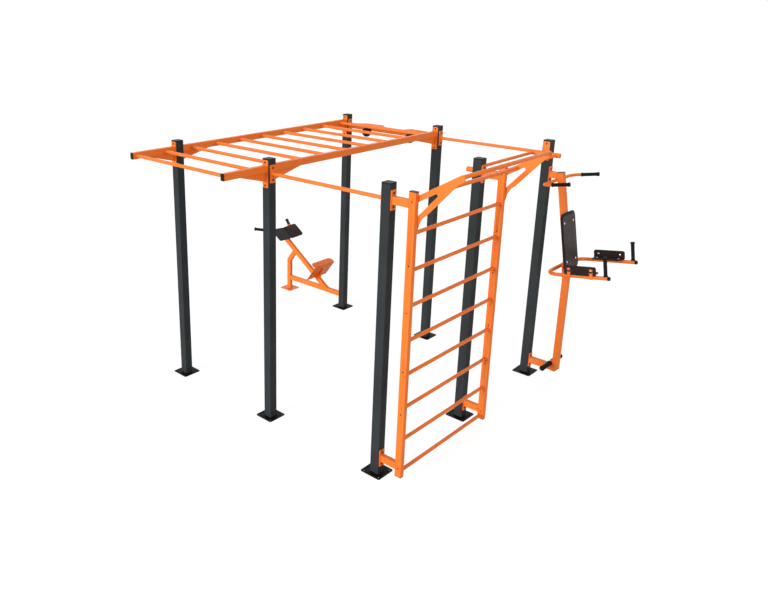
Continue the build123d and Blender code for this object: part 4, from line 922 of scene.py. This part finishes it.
def weld(name, loops, finish=orange_coat, size=BEAD):
    """One piece with a bead along each closed loop of points."""
    bead = bpy.data.curves.new(name, "CURVE")
    bead.dimensions, bead.bevel_depth, bead.bevel_resolution = "3D", size, 1
    for loop in loops:
        spline = bead.splines.new("POLY")
        spline.points.add(len(loop) - 1)
        for k, (spot, place) in enumerate(zip(spline.points, loop)):
            spot.co, spot.radius = (*place, 1), THIN if k % 2 else THICK
        spline.use_cyclic_u = True
    print(name, "beads:", len(loops))
    return settle(bpy.data.objects.new(name, bead), finish)


# %% Beads of the posts
POST_SPOTS = [(0, 0), (1, 0), (2, 0), (2, 1), (0, 2), (1, 2), (2, 2)]
BASE_THICK, POST_BEAD = 0.008, 0.004

post_loops = [
    frame_loop((i * PITCH, j * PITCH, BASE_THICK), ALONG, SIDEWAYS, 2 * POST_HALF, 2 * POST_HALF)
    for i, j in POST_SPOTS
]
weld("post_base_beads", post_loops, graphite_coat, POST_BEAD)

# %% Beads of the ladder
RAIL_WIDE, RAIL_DEEP, RAIL_HIGH = 0.044, 0.064, 2.510
RUNGS, FIRST_RUNG, RUNG_STEP, RUNG_HIGH, RUNG_RADIUS = 10, -1.5, PITCH / 4, 2.508, 0.01685

ladder = [
    frame_loop((x, y, RAIL_HIGH), ALONG, UP, RAIL_WIDE, RAIL_DEEP)
    for x in (0, PITCH) for y in (-PLATE_FACE, PLATE_FACE, BENCH_SIDE - PLATE_FACE)
]
ladder += [
    ring((x, (k + FIRST_RUNG) * RUNG_STEP, RUNG_HIGH), ALONG, RUNG_RADIUS)
    for k in range(RUNGS) for x in (RAIL_WIDE / 2, PITCH - RAIL_WIDE / 2)
]
weld("ladder_beads", ladder)

# %% Beads of the high bars, the back beam and the parallel bars
BAR_HIGH, BEAM_HIGH = 2.462, 2.465
PIPE_FLAT = (0.066, 0.016)
PIPE_NEAR_SIDE = PLATE_FACE + 0.0465

bars = [
    ring((x, y, BAR_HIGH), ALONG, RUNG_RADIUS)
    for x in (PITCH + PLATE_FACE, 2 * PITCH - PLATE_FACE) for y in (0, 2 * PITCH)
]
bars += [
    frame_loop((x, 2 * PITCH, BEAM_HIGH), SIDEWAYS, UP, RAIL_WIDE, RAIL_DEEP)
    for x in (PLATE_FACE, PITCH - PLATE_FACE)
]
bars += [
    frame_loop((2 * PITCH, y, DIP_HIGH), ALONG, UP, *PIPE_FLAT)
    for y in (PITCH + PLATE_FACE + 0.0005, 2 * PITCH - PLATE_FACE - 0.0005)
]
bars += [
    ring((x, y, DIP_HIGH), SIDEWAYS, DIP_BAR_RADIUS)
    for x in DIP_BAR_X for y in (PITCH + PIPE_NEAR_SIDE, 2 * PITCH - PIPE_NEAR_SIDE)
]
weld("bar_beads", bars)

# %% Beads of the wall bars
WALL_RUNGS, WALL_RUNG_X, WALL_RUNG_FROM, WALL_RUNG_STEP, WALL_RUNG_RADIUS = 8, 2.910, 0.104, 0.303, 0.016
STILE_BACK, MOUNT_HEIGHTS = 2.888, (0.155, BAR_HIGH)

wall = [
    ring((WALL_RUNG_X, y, WALL_RUNG_FROM + WALL_RUNG_STEP * k), SIDEWAYS, WALL_RUNG_RADIUS)
    for k in range(WALL_RUNGS) for y in (STILE_HALF, PITCH - STILE_HALF)
]
wall += [
    frame_loop((x, y, z), SIDEWAYS, UP, RAIL_WIDE, RAIL_DEEP)
    for y in (0, PITCH) for x in (2 * PITCH + PLATE_FACE, STILE_BACK) for z in MOUNT_HEIGHTS
]
weld("wall_bar_beads", wall)

# %% Beads of the overhang
OVERHANG_BARS = [(STILE_FACE + 0.084, 2.555), (STILE_FACE + 0.362, 2.726)]
OVERHANG_SIDES = (0.030, PITCH + 0.022)
OVERHANG_RING, OVERHANG_BEAD = 0.0146, 0.0025

overhang = [ring((x, y, z), SIDEWAYS, OVERHANG_RING) for x, z in OVERHANG_BARS for y in OVERHANG_SIDES]
weld("overhang_beads", overhang, size=OVERHANG_BEAD)

# %% Beads of the bench
BEAM_FOOT_X = -0.3328

bench = [frame_loop(end, SIDEWAYS, UP, BENCH_WIDE, BENCH_DEEP) for end in low_ends]
bench += [
    frame_loop(upright_foot, SIDEWAYS, ALONG, BENCH_WIDE, BENCH_DEEP),
    frame_loop(upright_top, SIDEWAYS, BENCH_LINE, BENCH_WIDE, BENCH_DEEP),
    frame_loop(
        (BEAM_FOOT_X, BENCH_SIDE, BENCH_HEEL.z), SIDEWAYS, ALONG, BENCH_WIDE, BENCH_DEEP / math.sin(BENCH_ANGLE)
    ),
]
weld("bench_beads", bench)

# %% Beads of the tower
SQUARE = 0.062
LOW_MOUNT_HIGH, HIGH_MOUNT_HIGH = 0.156, 2.251
MAST_BACK, HIGH_MOUNT_END, HIGH_MOUNT_SLANT = 2.985, 2.8106, 0.063
HAND_POST_AT, HAND_POST_FOOT, HAND_POST_RADIUS = 0.534, 0.0285, 0.014

mount_ends = [
    (2 * PITCH + PLATE_FACE, LOW_MOUNT_HIGH), (MAST_BACK, LOW_MOUNT_HIGH), (2 * PITCH + PLATE_FACE, HIGH_MOUNT_HIGH)
]
tower = [frame_loop((x, BENCH_SIDE, z), SIDEWAYS, UP, SQUARE, SQUARE) for x, z in mount_ends]
tower += [frame_loop((HIGH_MOUNT_END, BENCH_SIDE, HIGH_MOUNT_HIGH), SIDEWAYS, UP_MAST, SQUARE, HIGH_MOUNT_SLANT)]
tower += [
    ring(on_arm(HAND_POST_AT, side * ARM_HALF, HAND_POST_FOOT), ABOVE_ARM, HAND_POST_RADIUS) for side in (-1, 1)
]
weld("tower_beads", tower)

# %% [markdown]
# ## White background
# A catalogue picture has no horizon: a pale floor runs into a pale sky. Stronger lamps
# would whiten both but bleach the paint as well. So the sky and the floor ask what kind
# of ray meets them: rays from the camera, straight or by way of a shiny or clear
# surface, find white, and all others find a plain, weaker light.

# %% Sky
SKY_LIGHT = 0.46
SEEN_RAYS = ("Is Camera Ray", "Is Glossy Ray", "Is Transmission Ray")


def seen_by_camera(tree):
    """1 for rays that show the background in the picture, 0 for rays that light the object."""
    paths = add_node(tree, "ShaderNodeLightPath")
    seen = paths.outputs[SEEN_RAYS[0]]
    for kind in SEEN_RAYS[1:]:
        either = add_node(tree, "ShaderNodeMath", operation="MAXIMUM")
        tree.links.new(seen, either.inputs[0])
        tree.links.new(paths.outputs[kind], either.inputs[1])
        seen = either.outputs["Value"]
    return seen


world = bpy.data.worlds.new("studio")
bpy.context.scene.world = world
world.use_nodes = True
tree = world.node_tree
strength = add_node(tree, "ShaderNodeMapRange", **{"To Min": SKY_LIGHT, "To Max": 1.0})
tree.links.new(seen_by_camera(tree), strength.inputs["Value"])
tree.links.new(strength.outputs["Result"], tree.nodes["Background"].inputs["Strength"])
tree.nodes["Background"].inputs["Color"].default_value = (1, 1, 1, 1)
print("sky strength on the object:", SKY_LIGHT)

# %% Floor
FLOOR_HALF = 40.0
MATT_GREY, SHADOW_GREY, GLOW = (0.5, 0.5, 0.5, 1), (0.3, 0.3, 0.3, 1), 0.82

floor_mesh = bpy.data.meshes.new("studio_floor")
corners = [(x * FLOOR_HALF, y * FLOOR_HALF, 0) for x, y in ((-1, -1), (1, -1), (1, 1), (-1, 1))]
floor_mesh.from_pydata(corners, [], [(0, 1, 2, 3)])
floor = bpy.data.objects.new("studio_floor", floor_mesh)
bpy.context.scene.collection.objects.link(floor)

floor_finish = bpy.data.materials.new("studio_floor")
floor_finish.use_nodes = True
tree = floor_finish.node_tree
tree.nodes.clear()
matt = add_node(tree, "ShaderNodeBsdfDiffuse", Color=MATT_GREY)
shadow_keeper = add_node(tree, "ShaderNodeBsdfDiffuse", Color=SHADOW_GREY)
glow = add_node(tree, "ShaderNodeEmission", Strength=GLOW)
pale = add_node(tree, "ShaderNodeAddShader")
tree.links.new(shadow_keeper.outputs["BSDF"], pale.inputs[0])
tree.links.new(glow.outputs["Emission"], pale.inputs[1])
choose = add_node(tree, "ShaderNodeMixShader")
tree.links.new(seen_by_camera(tree), choose.inputs[0])
tree.links.new(matt.outputs["BSDF"], choose.inputs[1])
tree.links.new(pale.outputs["Shader"], choose.inputs[2])
out = add_node(tree, "ShaderNodeOutputMaterial")
tree.links.new(choose.outputs["Shader"], out.inputs["Surface"])
floor_mesh.materials.append(floor_finish)
print("floor:", 2 * FLOOR_HALF, "m wide")

# %% [markdown]
# ## Light
# In the picture the faces towards the front are the brightest, those to the right are a
# shade darker, and no shadow has a hard edge. One wide sun stands at the front, a weaker
# one at the right, and a third from behind lifts the far sides a little. Their wide
# angles make the shadows soft, and sun lamps light the whole frame evenly.

# %% Three wide suns
SUNS = [
    # name, strength, how wide it looks in degrees, where it comes from
    ("wide_sun", 2.8, 28, Vector((-0.17, -0.96, 0.21))),
    ("side_fill", 1.25, 70, Vector((0.97, -0.05, 0.12))),
    ("back_fill", 0.7, 70, Vector((-0.55, 0.8, 0.2))),
]
for name, power, wide_degrees, comes_from in SUNS:
    lamp = bpy.data.lights.new(name, "SUN")
    lamp.energy = power
    lamp.angle = math.radians(wide_degrees)
    holder = bpy.data.objects.new(name, lamp)
    holder.rotation_mode = "QUATERNION"
    holder.rotation_quaternion = (-comes_from).to_track_quat("-Z", "Y")
    bpy.context.scene.collection.objects.link(holder)
    print("lamp:", name, "strength", power)
